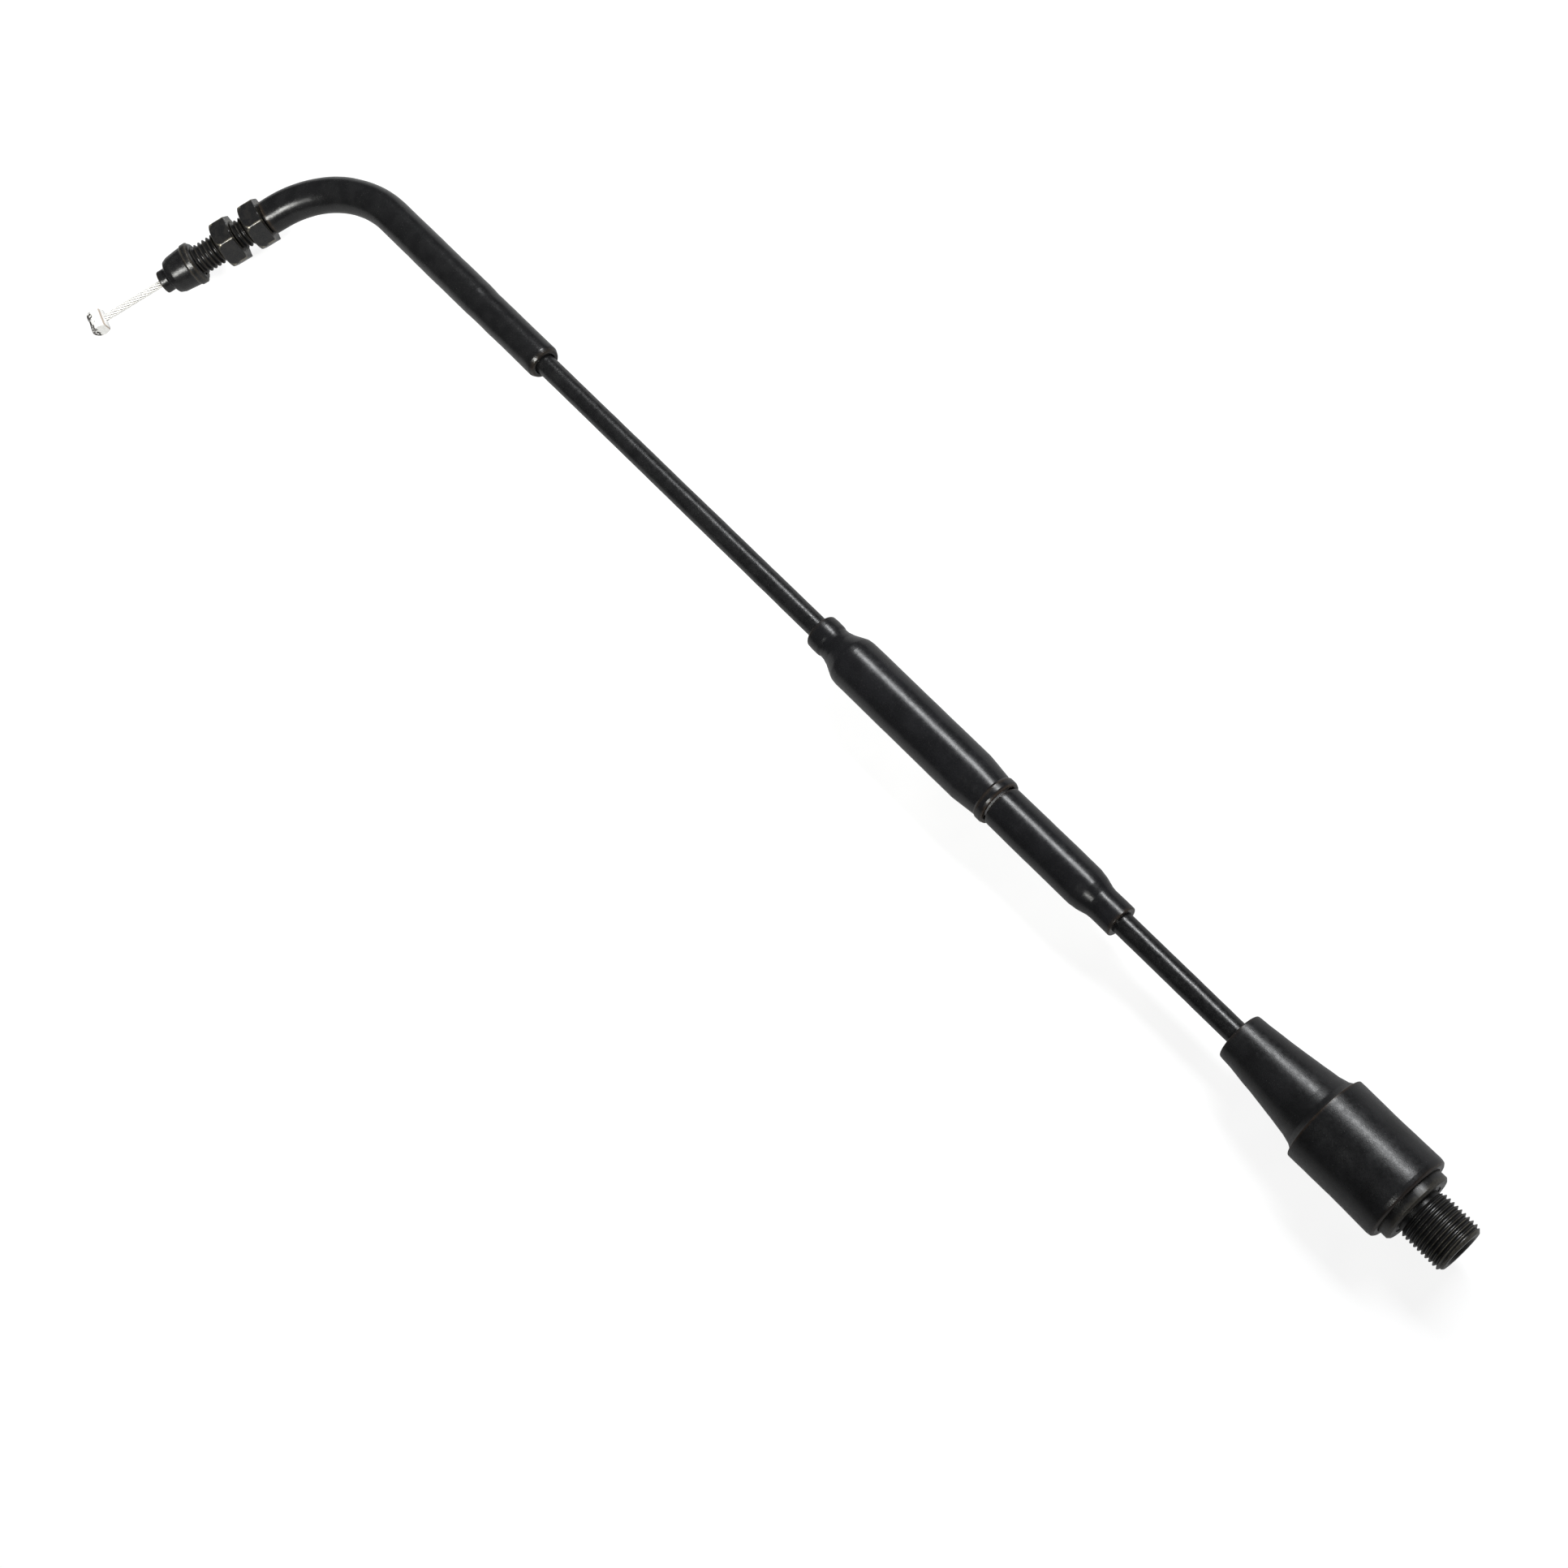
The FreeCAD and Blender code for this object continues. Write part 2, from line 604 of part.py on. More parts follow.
liner = new_body("bend_liner")
liner_arm = tip - dims.bush_len - 0.2
liner_path = bend_path(liner, "liner_path", ARM, liner_arm, tube_leg - 0.3)
pipe(liner, "liner_outer", dims.bend_liner_rad, liner_path)
pipe(liner, "liner_inner", wire_bore, liner_path, cut=True)
place(liner, ARM)

# ------------------------------------------------------------- mounting nuts
for nut_name, face_out in (
        ("front_mount_nut", dims.front_nut_out), ("rear_mount_nut", dims.rear_nut_out)):
    hex_nut(nut_name, dims.nut_flats, dims.nut_thick, dims.nut_bore_rad, dims.nut_clock,
            shifted(ARM, -face_out), domed=True)

# ------------------------------------------------------------- bend sleeve
# Soft sleeve pulled over the tube, necked down over the casing ferrule, with a
# rounded open lip where the casing enters.
sleeve = new_body("bend_sleeve")
sleeve_rad, sleeve_bore = dims.sleeve_rad, dims.sleeve_bore_rad
neck_rad, neck_bore = dims.sleeve_neck_rad, dims.sleeve_neck_bore
sleeve_end = dims.sleeve_end_x - dims.corner_x
sleeve_path = bend_path(sleeve, "sleeve_path", CORNER, dims.sleeve_start_out, tube_leg)
pipe(sleeve, "sleeve_outer", sleeve_rad, sleeve_path)
revolve(sleeve, "sleeve_neck", [
    (tube_leg - 1.0, 0.0), (tube_leg - 1.0, sleeve_rad), (tube_leg, sleeve_rad),
    (tube_leg + 3.0, neck_rad), (sleeve_end - 1.3, neck_rad),
    (sleeve_end - 0.5, neck_rad - 0.2), (sleeve_end, neck_bore + 0.1), (sleeve_end, 0.0)])
groove(sleeve, "sleeve_neck_bore_cut", [
    (tube_leg - 2.0, 0.0), (tube_leg - 2.0, sleeve_bore), (tube_leg + 0.05, sleeve_bore),
    (tube_leg + 0.05, neck_bore), (sleeve_end + 0.5, neck_bore), (sleeve_end + 0.5, 0.0)])
pipe(sleeve, "sleeve_inner", sleeve_bore, sleeve_path, cut=True)
place(sleeve, CORNER)


# ------------------------------------------------------------- long casing
def casing(prefix, start, end, liner_start):
    """The three nested tubes of a casing."""
    for layer, layer_start, bore, outer in (
            ("jacket", start, dims.jacket_bore, dims.jacket_rad),
            ("conduit", start, dims.conduit_bore, dims.conduit_rad),
            ("liner", liner_start, dims.wire_bore_rad, dims.liner_rad)):
        turned("%s_%s" % (prefix, layer), band(layer_start, end, bore, outer))


def adjuster_ferrule(name, nose_x, side):
    """A casing ferrule with its closed nose at nose_x, open towards side (+1 or -1) in X."""
    radius, edge = dims.small_ferrule_rad, 0.25
    open_x = nose_x + dims.small_ferrule_len * side
    socket_x = nose_x + dims.ferrule_nose * side
    turned(name, [
        (nose_x, wire_bore), (nose_x, radius - edge), (nose_x + edge * side, radius),
        (open_x - edge * side, radius), (open_x, radius - edge),
        (open_x, ferrule_bore), (socket_x, ferrule_bore), (socket_x, wire_bore)])


ferrule_bore = dims.ferrule_bore
ferrule_x, ferrule_end = dims.tube_end_x + 0.2, dims.tube_ferrule_x
ferrule_rad, liner_hole = dims.tube_ferrule_rad, dims.liner_rad + 0.04
casing_x = dims.long_casing_x
turned("tube_casing_ferrule", [
    (ferrule_x, liner_hole), (ferrule_x, ferrule_rad - 0.3), (ferrule_x + 0.3, ferrule_rad),
    (ferrule_end - 0.5, ferrule_rad), (ferrule_end, ferrule_rad - 0.5),
    (ferrule_end, ferrule_bore), (casing_x - 0.1, ferrule_bore),
    (casing_x - 0.1, liner_hole)])
casing("long_casing", casing_x, dims.long_casing_end_x, ferrule_x + 0.1)

inlet_nose_x = dims.long_casing_end_x + 0.1 + dims.ferrule_nose
adjuster_ferrule("adjuster_inlet_ferrule", inlet_nose_x, -1)

# ------------------------------------------------------------- in-line adjuster
# Hollow screw with a hexagon head that holds the long casing's ferrule.
screw = new_body("adjuster_screw")
head_len, screw_rad = dims.screw_head_len, dims.screw_rad
screw_len = dims.screw_end_x - dims.screw_head_x
socket_end = inlet_nose_x - dims.screw_head_x + 0.15
hex_pad(screw, "screw_hexagon", "screw_head", dims.hex_small, dims.screw_clock, head_len)
revolve(screw, "screw_shank", [
    (head_len - 1.0, 0.0), (head_len - 1.0, screw_rad), (screw_len - 0.7, screw_rad),
    (screw_len, screw_rad - 0.7), (screw_len, 0.0)])
chamfer_corners(screw, "head_corner", head_len, dims.hex_small * 0.475, 1.2, 0.7)
groove(screw, "screw_bore_cut", [
    (-0.5, 0.0), (-0.5, dims.socket_rad), (socket_end, dims.socket_rad),
    (socket_end, dims.screw_bore), (screw_len + 0.5, dims.screw_bore),
    (screw_len + 0.5, 0.0)])
thread_grooves(
    screw, "screw_thread", head_len + 1.0, screw_rad, dims.screw_pitch, dims.screw_grooves)
place(screw, shifted(RUN, dims.screw_head_x))

hex_nut("adjuster_lock_nut", dims.hex_small, dims.lock_nut_thick, dims.barrel_bore,
        Dim.of(0.0), shifted(RUN, dims.lock_nut_x))

# Barrel that takes the screw at one end and the short casing's ferrule at the other.
barrel = new_body("adjuster_barrel")
barrel_x, barrel_rad, barrel_bore = dims.barrel_x, dims.barrel_rad, dims.barrel_bore
flange_rad, flange_len = dims.barrel_flange_rad, dims.barrel_flange_len
barrel_len = dims.barrel_end_x - barrel_x
socket_start = dims.barrel_socket_x - barrel_x
bore_end = dims.barrel_bore_end_x - barrel_x
revolve(barrel, "barrel_turn", [
    (0.0, barrel_bore), (0.0, flange_rad - 0.4), (0.4, flange_rad),
    (flange_len - 0.4, flange_rad), (flange_len, flange_rad - 0.4),
    (flange_len, barrel_rad), (barrel_len - 0.4, barrel_rad),
    (barrel_len, barrel_rad - 0.4), (barrel_len, dims.socket_rad),
    (socket_start, dims.socket_rad), (socket_start, dims.screw_bore),
    (bore_end, dims.screw_bore), (bore_end, barrel_bore)])

# one V groove on the +Y side, repeated round the flange
knurl_face = new_sketch(barrel, "knurl_face", "YZ_Plane")
knurl_root, knurl_top = flange_rad - dims.knurl_depth, flange_rad + dims.knurl_over
half_width = dims.knurl_width.value / 2
closed_lines(knurl_face, [
    (knurl_top.value, -half_width), (knurl_top.value, half_width), (knurl_root.value, 0.0)])
knurl_face.addConstraint(Sketcher.Constraint("PointOnObject", 2, 1, -1))
knurl_face.addConstraint(Sketcher.Constraint("Symmetric", 0, 1, 0, 2, -1))
bind(knurl_face, "DistanceX", (-1, 1, 2, 1), knurl_root, "knurl_root")
bind(knurl_face, "DistanceX", (-1, 1, 0, 1), knurl_top, "knurl_top")
bind(knurl_face, "DistanceY", (0, 1, 0, 2), dims.knurl_width, "knurl_width")
doc.recompute()
knurl = barrel.newObject("PartDesign::Pocket", "knurl_cut")
knurl.Profile = knurl_face
bind_property(knurl, "Length", flange_len)
uncut_volume = barrel.Shape.Volume
doc.recompute()
# the pocket is turned round if its default direction misses the flange
if not barrel.Shape.Volume < uncut_volume - 1e-6:
    knurl.Reversed = True
    doc.recompute()
knurl_ring = barrel.newObject("PartDesign::PolarPattern", "knurl_ring")
knurl_ring.Originals = [knurl]
knurl_ring.Axis = (origin_feature(barrel, "X_Axis"), [""])
knurl_ring.Angle = 360.0
knurl_ring.Occurrences = int(dims.knurls.value)
knurl_ring.setExpression("Occurrences", dims.knurls.text)
barrel.Tip = knurl_ring
doc.recompute()
place(barrel, shifted(RUN, barrel_x))

# ------------------------------------------------------------- adjuster boots
grip = dims.boot_grip
start, end = dims.boot_a_x, dims.boot_a_end_x
lip, body_rad = dims.boot_a_lip_rad, dims.boot_a_rad
bead, bore = dims.boot_a_bead_rad, dims.boot_a_bore
turned("adjuster_boot_large", [
    (start, grip), (start, lip - 0.3), (start + 0.4, lip), (start + 3.6, lip),
    (start + 4.2, lip - 0.25), (start + 5.6, lip - 0.15), (start + 7.4, lip + 0.35),
    (start + 9.3, body_rad - 0.75), (start + 10.6, body_rad - 0.15),
    (start + 12.0, body_rad), (end - 9.3, body_rad - 0.08), (end - 2.6, bead - 0.25),
    (end - 2.1, bead), (end - 0.6, bead), (end, bead - 0.3), (end, bore),
    (start + 12.6, bore), (start + 6.6, grip)])

start, end = dims.boot_b_x, dims.boot_b_end_x
body_rad, neck, bore = dims.boot_b_rad, dims.boot_b_neck_rad, dims.boot_b_bore
turned("adjuster_boot_small", [
    (start, bore), (start, body_rad - 0.15), (start + 0.6, body_rad),
    (start + 25.0, body_rad), (start + 27.5, body_rad - 0.25), (start + 30.6, neck + 0.05),
    (start + 31.6, neck), (end - 0.2, neck), (end, neck - 0.2), (end, grip),
    (start + 29.6, grip), (start + 24.6, bore)])

# ------------------------------------------------------------- short casing
adjuster_ferrule("adjuster_outlet_ferrule", dims.short_ferrule_x, 1)
casing("short_casing", dims.short_casing_x, dims.short_casing_end_x, dims.short_casing_x)

swivel_x, swivel_rad = dims.swivel_ferrule_x, dims.swivel_ferrule_rad
flange_x, swivel_flange_rad = dims.swivel_flange_x, dims.swivel_flange_rad
flange_end = flange_x + dims.swivel_flange_len
seat_x = dims.short_casing_end_x + 0.1
turned("swivel_ferrule", [
    (swivel_x, ferrule_bore), (swivel_x, swivel_rad - 0.3), (swivel_x + 0.3, swivel_rad),
    (flange_x, swivel_rad), (flange_x, swivel_flange_rad), (flange_end, swivel_flange_rad),
    (flange_end, wire_bore), (seat_x, wire_bore), (seat_x, ferrule_bore)])

# ------------------------------------------------------------- housing fitting
# Sleeve, collar and M12 thread in one piece, with a groove for the retaining ring.
fitting = new_body("housing_fitting")
fitting_x, fitting_rad, cavity = dims.fitting_x, dims.fitting_rad, dims.fitting_cavity
shoulder_x, fitting_bore = dims.fitting_shoulder_x, dims.fitting_bore
collar_rad, collar_edge = dims.collar_rad, dims.collar_chamfer
thread_rad, thread_end = dims.thread_rad, dims.thread_end_x
relief_len, relief_rad = dims.relief_len, dims.relief_rad
ring_seat_x = dims.ring_x - 0.05
ring_seat_end = ring_seat_x + (dims.ring_thick + 0.1)
ring_seat_rad = dims.ring_rad + 0.05
revolve(fitting, "fitting_turn", [
    (fitting_x, cavity), (fitting_x, fitting_rad - 0.5), (fitting_x + 0.5, fitting_rad),
    (-dims.collar_thick, fitting_rad), (-dims.collar_thick, collar_rad),
    (-collar_edge, collar_rad), (0.0, collar_rad - collar_edge),
    (0.0, dims.undercut_rad), (-dims.undercut, dims.undercut_rad),
    (-dims.undercut, relief_rad), (relief_len, relief_rad), (relief_len + 0.6, thread_rad),
    (thread_end - 0.9, thread_rad), (thread_end, thread_rad - 0.9),
    (thread_end, fitting_bore + 0.5), (thread_end - 0.5, fitting_bore),
    (shoulder_x, fitting_bore), (shoulder_x, cavity), (ring_seat_end, cavity),
    (ring_seat_end, ring_seat_rad), (ring_seat_x, ring_seat_rad), (ring_seat_x, cavity)])
thread_grooves(fitting, "fitting_thread", relief_len + 0.75, thread_rad,
               dims.thread_pitch, dims.thread_grooves)
place(fitting, RUN)

# a split spring ring that keeps the swivel ferrule's flange in the fitting
ring = new_body("retaining_ring")
revolve(ring, "ring_turn", band(0.0, dims.ring_thick, dims.ring_bore, dims.ring_rad))
gap_face = new_sketch(ring, "ring_gap", "YZ_Plane")
half_gap = dims.ring_gap / 2
# the split is on the +Y side and overruns the ring inwards and outwards
polygon(gap_face, [(2.0, -half_gap), (7.0, -half_gap), (7.0, half_gap), (2.0, half_gap)])
doc.recompute()
gap_cut = ring.newObject("PartDesign::Pocket", "ring_gap_cut")
gap_cut.Profile = gap_face
gap_cut.Type = "ThroughAll"
gap_cut.SideType = "Symmetric"
uncut_volume = ring.Shape.Volume
doc.recompute()
require_cut(ring, uncut_volume, "ring_gap_cut")
place(ring, shifted(RUN, dims.ring_x))

guide_x, guide_rad = dims.guide_x, dims.guide_rad
guide_end = guide_x + dims.guide_len
turned("wire_guide_bush", [
    (guide_x, wire_bore), (guide_x, guide_rad), (guide_end - 0.3, guide_rad),
    (guide_end, guide_rad - 0.3), (guide_end, wire_bore + 0.8),
    (guide_end - 0.8, wire_bore)])

# ------------------------------------------------------------- housing boot
start, step, end = dims.boot_c_x, dims.boot_c_step_x, dims.boot_c_end_x
tip_rad, root_rad, wide_rad = dims.boot_c_tip_rad, dims.boot_c_root_rad, dims.boot_c_rad
bore, mouth = dims.boot_c_bore, dims.boot_c_mouth
turned("housing_boot", [
    (start, grip), (start, tip_rad - 0.1), (start + 0.2, tip_rad),
    (start + 3.2, tip_rad + 0.15), (start + 9.7, tip_rad + 0.9),
    (start + 16.3, tip_rad + 1.78), (start + 20.2, tip_rad + 2.45),
    (start + 22.4, root_rad), (step - 0.35, root_rad + 0.6), (step, root_rad + 1.25),
    (step + 0.35, wide_rad - 0.1), (step + 1.0, wide_rad), (step + 11.5, wide_rad - 0.13),
    (end - 1.5, wide_rad), (end - 0.5, wide_rad - 0.25), (end, wide_rad - 0.8),
    (end, mouth), (end - 2.2, mouth), (end - 2.2, bore), (fitting_x - 0.5, bore),
    (fitting_x - 0.5, 4.9), (start + 6.2, 3.75), (start + 6.2, grip)])

# ------------------------------------------------------------- checks and files
doc.recompute()
bad = [o.Name for o in doc.Objects if "Invalid" in o.State or "Error" in o.State]
if bad:
    raise RuntimeError("objects failed: %s" % ", ".join(bad))
for node in nodes:
    shape = node.Shape
    if shape.isNull() or not shape.isValid() or len(shape.Solids) != 1 or shape.Volume <= 0:
        raise RuntimeError(
            "%s: valid %s, solids %d" % (node.Label, shape.isValid(), len(shape.Solids)))
os.makedirs("parts", exist_ok=True)
for node in nodes:
    node.Shape.exportStep("parts/%s.step" % node.Label)
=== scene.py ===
# A control cable lying level.  Its straight run follows the X axis and ends in a threaded fitting
# near x = 0.  At x = -373.1 mm the centre line turns through 73 degrees, and a tube with two nuts
# and a dust cap carries the cable down an arm towards -Y and a little towards -X.
import json
from math import acos, atan2, cos, exp, hypot, pi, radians, sin, sqrt, tan

import bmesh
import bpy
from mathutils import Matrix, Vector, noise


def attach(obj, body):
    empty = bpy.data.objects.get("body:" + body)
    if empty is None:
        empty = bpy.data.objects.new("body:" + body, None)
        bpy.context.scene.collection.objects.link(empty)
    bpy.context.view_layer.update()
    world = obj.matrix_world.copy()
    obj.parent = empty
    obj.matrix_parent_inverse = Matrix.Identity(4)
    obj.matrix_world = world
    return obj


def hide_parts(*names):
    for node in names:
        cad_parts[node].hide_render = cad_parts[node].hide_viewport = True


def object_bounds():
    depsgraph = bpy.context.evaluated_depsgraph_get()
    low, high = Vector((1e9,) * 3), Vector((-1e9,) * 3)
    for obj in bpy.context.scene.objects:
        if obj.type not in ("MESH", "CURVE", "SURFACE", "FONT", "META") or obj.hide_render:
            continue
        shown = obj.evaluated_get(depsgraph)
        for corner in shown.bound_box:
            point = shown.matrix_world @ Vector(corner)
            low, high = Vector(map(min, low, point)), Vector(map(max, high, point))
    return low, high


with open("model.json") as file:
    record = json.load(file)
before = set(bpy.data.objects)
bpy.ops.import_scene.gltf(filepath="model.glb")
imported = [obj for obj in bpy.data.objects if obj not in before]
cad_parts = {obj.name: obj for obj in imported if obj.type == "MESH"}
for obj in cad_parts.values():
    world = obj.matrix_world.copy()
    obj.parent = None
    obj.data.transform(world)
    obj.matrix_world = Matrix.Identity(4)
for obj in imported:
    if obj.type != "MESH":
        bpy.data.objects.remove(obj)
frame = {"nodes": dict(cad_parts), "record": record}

cad_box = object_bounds()
BODY = {name: body for body, names in frame["record"]["behaviour"]["bodies"].items()
        for name in names}

# --------------------------------------------------------------- the centre line
# Lengths are in mm here and in metres in the meshes.  `along` is the distance on the centre line:
# minus the distance from the bend corner on the arm, then round the bend, then along the run.
MM = 0.001
CORNER_X = -373.1
BEND_ANGLE = radians(73.0)
BEND_RADIUS = 29.0
REACH = BEND_RADIUS * tan(BEND_ANGLE / 2)  # from the corner to either end of the bend
ARC = BEND_RADIUS * BEND_ANGLE
ARM_X, ARM_Y = cos(BEND_ANGLE), sin(BEND_ANGLE)
HUB_X = CORNER_X - ARM_X * REACH + BEND_RADIUS * sin(BEND_ANGLE)
HUB_Y = -ARM_Y * REACH - BEND_RADIUS * cos(BEND_ANGLE)


def at_x(x):
    """The distance along of a point on the straight run."""
    return x - CORNER_X - 2 * REACH + ARC


def on_run(corners, start_x=0.0):
    """Profile corners given by x from start_x, moved to distances along."""
    return [(at_x(start_x + x), radius, fillet) for x, radius, fillet in corners]


def place(along, side, up):
    """The point at an offset from the centre line, in metres; side is +Y on the run."""
    if along <= -REACH:
        heading, x, y = BEND_ANGLE, CORNER_X + ARM_X * along, ARM_Y * along
    elif along < ARC - REACH:
        heading = BEND_ANGLE - (along + REACH) / BEND_RADIUS
        x = HUB_X - BEND_RADIUS * sin(heading)
        y = HUB_Y + BEND_RADIUS * cos(heading)
    else:
        heading, x, y = 0.0, CORNER_X + 2 * REACH - ARC + along, 0.0
    return Vector(((x - sin(heading) * side) * MM, (y + cos(heading) * side) * MM, up * MM))


def place_round(along, radius, angle):
    return place(along, radius * cos(angle), radius * sin(angle))


# --------------------------------------------------------------- shaping curves
def ramp(value, low, high):
    part = max(0.0, min(1.0, (value - low) / (high - low)))
    return part * part * (3 - 2 * part)


def peak(value, centre, width):
    return exp(-((value - centre) / width) ** 2)


def wave(along, angle, length, cycles, seed):
    """Smooth noise on a tube, about -1 to 1: length in mm along it, cycles about it."""
    return 1.6 * noise.noise(Vector((
        along / length + 13.7 * seed, cos(angle) * cycles + 3.1 * seed, sin(angle) * cycles)))


# --------------------------------------------------------------- profiles
def round_corner(corner, before, after):
    """The points of one rounded corner."""
    along, radius, fillet = corner
    if fillet <= 0:
        return [(along, radius)]
    back = Vector((before[0] - along, before[1] - radius))
    ahead = Vector((after[0] - along, after[1] - radius))
    back_length, ahead_length = back.length, ahead.length
    back, ahead = back / back_length, ahead / ahead_length
    opening = acos(max(-1.0, min(1.0, back.dot(ahead))))
    if opening > pi - 0.02:
        return [(along, radius)]
    # The fillet shrinks where a side is too short for it.
    cut = min(fillet / tan(opening / 2), back_length * 0.48, ahead_length * 0.48)
    bend = cut * tan(opening / 2)
    here = Vector((along, radius))
    centre = here + (back + ahead).normalized() * (bend / sin(opening / 2))
    first, last = here + back * cut, here + ahead * cut
    start = atan2(first.y - centre.y, first.x - centre.x)
    sweep = atan2(last.y - centre.y, last.x - centre.x) - start
    sweep = (sweep + pi) % (2 * pi) - pi
    count = max(2, int(abs(sweep) / radians(13)) + 1)
    angles = [start + sweep * k / count for k in range(count + 1)]
    return [(centre.x + bend * cos(a), centre.y + bend * sin(a)) for a in angles]


def soften(corners, step=1.2, closed=True):
    """(along, radius, fillet) corners to a rounded profile, its straight spans cut at step."""
    last = len(corners) - 1
    points = []
    for i, corner in enumerate(corners):
        if not closed and i in (0, last):
            points.append(corner[:2])
        else:
            points += round_corner(corner, corners[i - 1], corners[(i + 1) % len(corners)])
    dense = []
    for i, (along, radius) in enumerate(points):
        dense.append((along, radius))
        if closed or i < len(points) - 1:
            next_along, next_radius = points[(i + 1) % len(points)]
            cuts = int(hypot(next_along - along, next_radius - radius) / step)
            for k in range(1, cuts + 1):
                part = k / (cuts + 1)
                dense.append((along + (next_along - along) * part,
                              radius + (next_radius - radius) * part))
    return dense


# --------------------------------------------------------------- thread form
# Fractions of a pitch: a nearly flat crest, then straight flanks down to a flat root.
CREST, FLANK = 0.125, 0.354
THREAD_DEPTH = 0.6134  # of the pitch
KNOTS = [0.0, 0.03, 0.0625, 0.095, 0.125, 0.16, 0.24, 0.33, 0.42, 0.479, 0.5625, 0.646, 0.70,
         0.79, 0.88, 0.965]  # where each pitch is cut


def thread_form(phase):
    """0 on the crest to 1 in the root."""
    if phase < CREST:
        return 0.03 * ((phase - CREST / 2) / (CREST / 2)) ** 2
    if phase < CREST + FLANK:
        part = (phase - CREST) / FLANK
    elif phase < 1 - FLANK:
        return 1.0
    else:
        part = (1 - phase) / FLANK
    return 0.03 + 0.97 * part


# A mark on thread crests: partly wear and partly a painted crest glint.
def crest_wear_and_glint(phase, amount):
    away = min(abs(phase - CREST / 2), abs(phase - 1 - CREST / 2))
    return amount * max(0.0, 1.0 - away / 0.16)


# --------------------------------------------------------------- surfaces
class Skin:
    """A surface built from rings, with a value on each vertex for wear and for painted light:
    painted glints on edges and painted shade in rope grooves.
    """

    def __init__(self, around):
        self.around = around
        self.points, self.wear_and_painted_light, self.faces = [], [], []

    def vert(self, point, wear_and_painted_light):
        self.points.append(point)
        self.wear_and_painted_light.append(wear_and_painted_light)
        return len(self.points) - 1

    def ring(self, along, radius, shape, wear_and_painted_light):
        row = []
        for k in range(self.around):
            angle = 2 * pi * k / self.around
            shaped = shape(along, angle, radius) if shape else radius
            row.append(self.vert(place_round(along, shaped, angle),
                                 wear_and_painted_light(along, angle, shaped) if wear_and_painted_light else 0.0))
        return row

    def join(self, row, other):
        for k in range(self.around):
            after = (k + 1) % self.around
            self.faces.append((row[k], row[after], other[after], other[k]))

    def band(self, profile, shape=None, wear_and_painted_light=None, closed=True):
        """Rings on a profile; shape(along, angle, radius) alters the radius."""
        rows = [self.ring(along, radius, shape, wear_and_painted_light) for along, radius in profile]
        for row, other in zip(rows, rows[1:]):
            self.join(row, other)
        if closed:
            self.join(rows[-1], rows[0])

    def thread(self, start, end, pitch, shape, wear_and_painted_light):
        """A right-hand thread between two round rings: shape(along, phase) is its radius."""
        count = self.around
        base = start - pitch * 1.02
        rows = []
        for turn in range(int((end - start) / pitch) + 4):
            for knot in KNOTS:
                row = []
                for k in range(count):
                    along = base + pitch * (turn + knot + k / count)
                    along = min(max(along, start), end)
                    phase = ((along - base) / pitch - k / count) % 1.0
                    point = place_round(along, shape(along, phase), 2 * pi * k / count)
                    row.append(self.vert(point, wear_and_painted_light(along, phase)))
                rows.append(row)
        top = len(rows) - 1
        for i in range(top):
            low, high = rows[i], rows[i + 1]
            for k in range(count - 1):
                self.faces.append((low[k], low[k + 1], high[k + 1], high[k]))
            # The helix closes on the row one pitch further along.
            seam, next_seam = min(i + len(KNOTS), top), min(i + 1 + len(KNOTS), top)
            self.faces.append((low[-1], rows[seam][0], rows[next_seam][0], high[-1]))

    def done(self, node, material, sharp=38):
        """Makes the object; edges steeper than sharp degrees stay hard."""
        bm = bmesh.new()
        layer = bm.verts.layers.float.new("wear_and_painted_light")
        verts = []
        for point, wear_and_painted_light in zip(self.points, self.wear_and_painted_light):
            vert = bm.verts.new(point)
            vert[layer] = wear_and_painted_light
            verts.append(vert)
        for face in self.faces:
            bm.faces.new([verts[i] for i in dict.fromkeys(face)])
        bmesh.ops.remove_doubles(bm, verts=bm.verts, dist=3e-7)
        loose = [vert for vert in bm.verts if not vert.link_faces]
        bmesh.ops.delete(bm, geom=loose, context="VERTS")
        bmesh.ops.recalc_face_normals(bm, faces=bm.faces)
        mesh = bpy.data.meshes.new(node + "_visual")
        bm.to_mesh(mesh)
        bm.free()
        mesh.shade_smooth()
        mesh.set_sharp_from_angle(angle=radians(sharp))
        obj = bpy.data.objects.new(node + "_visual", mesh)
        bpy.context.scene.collection.objects.link(obj)
        mesh.materials.append(material)
        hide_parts(node)
        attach(obj, BODY[node])


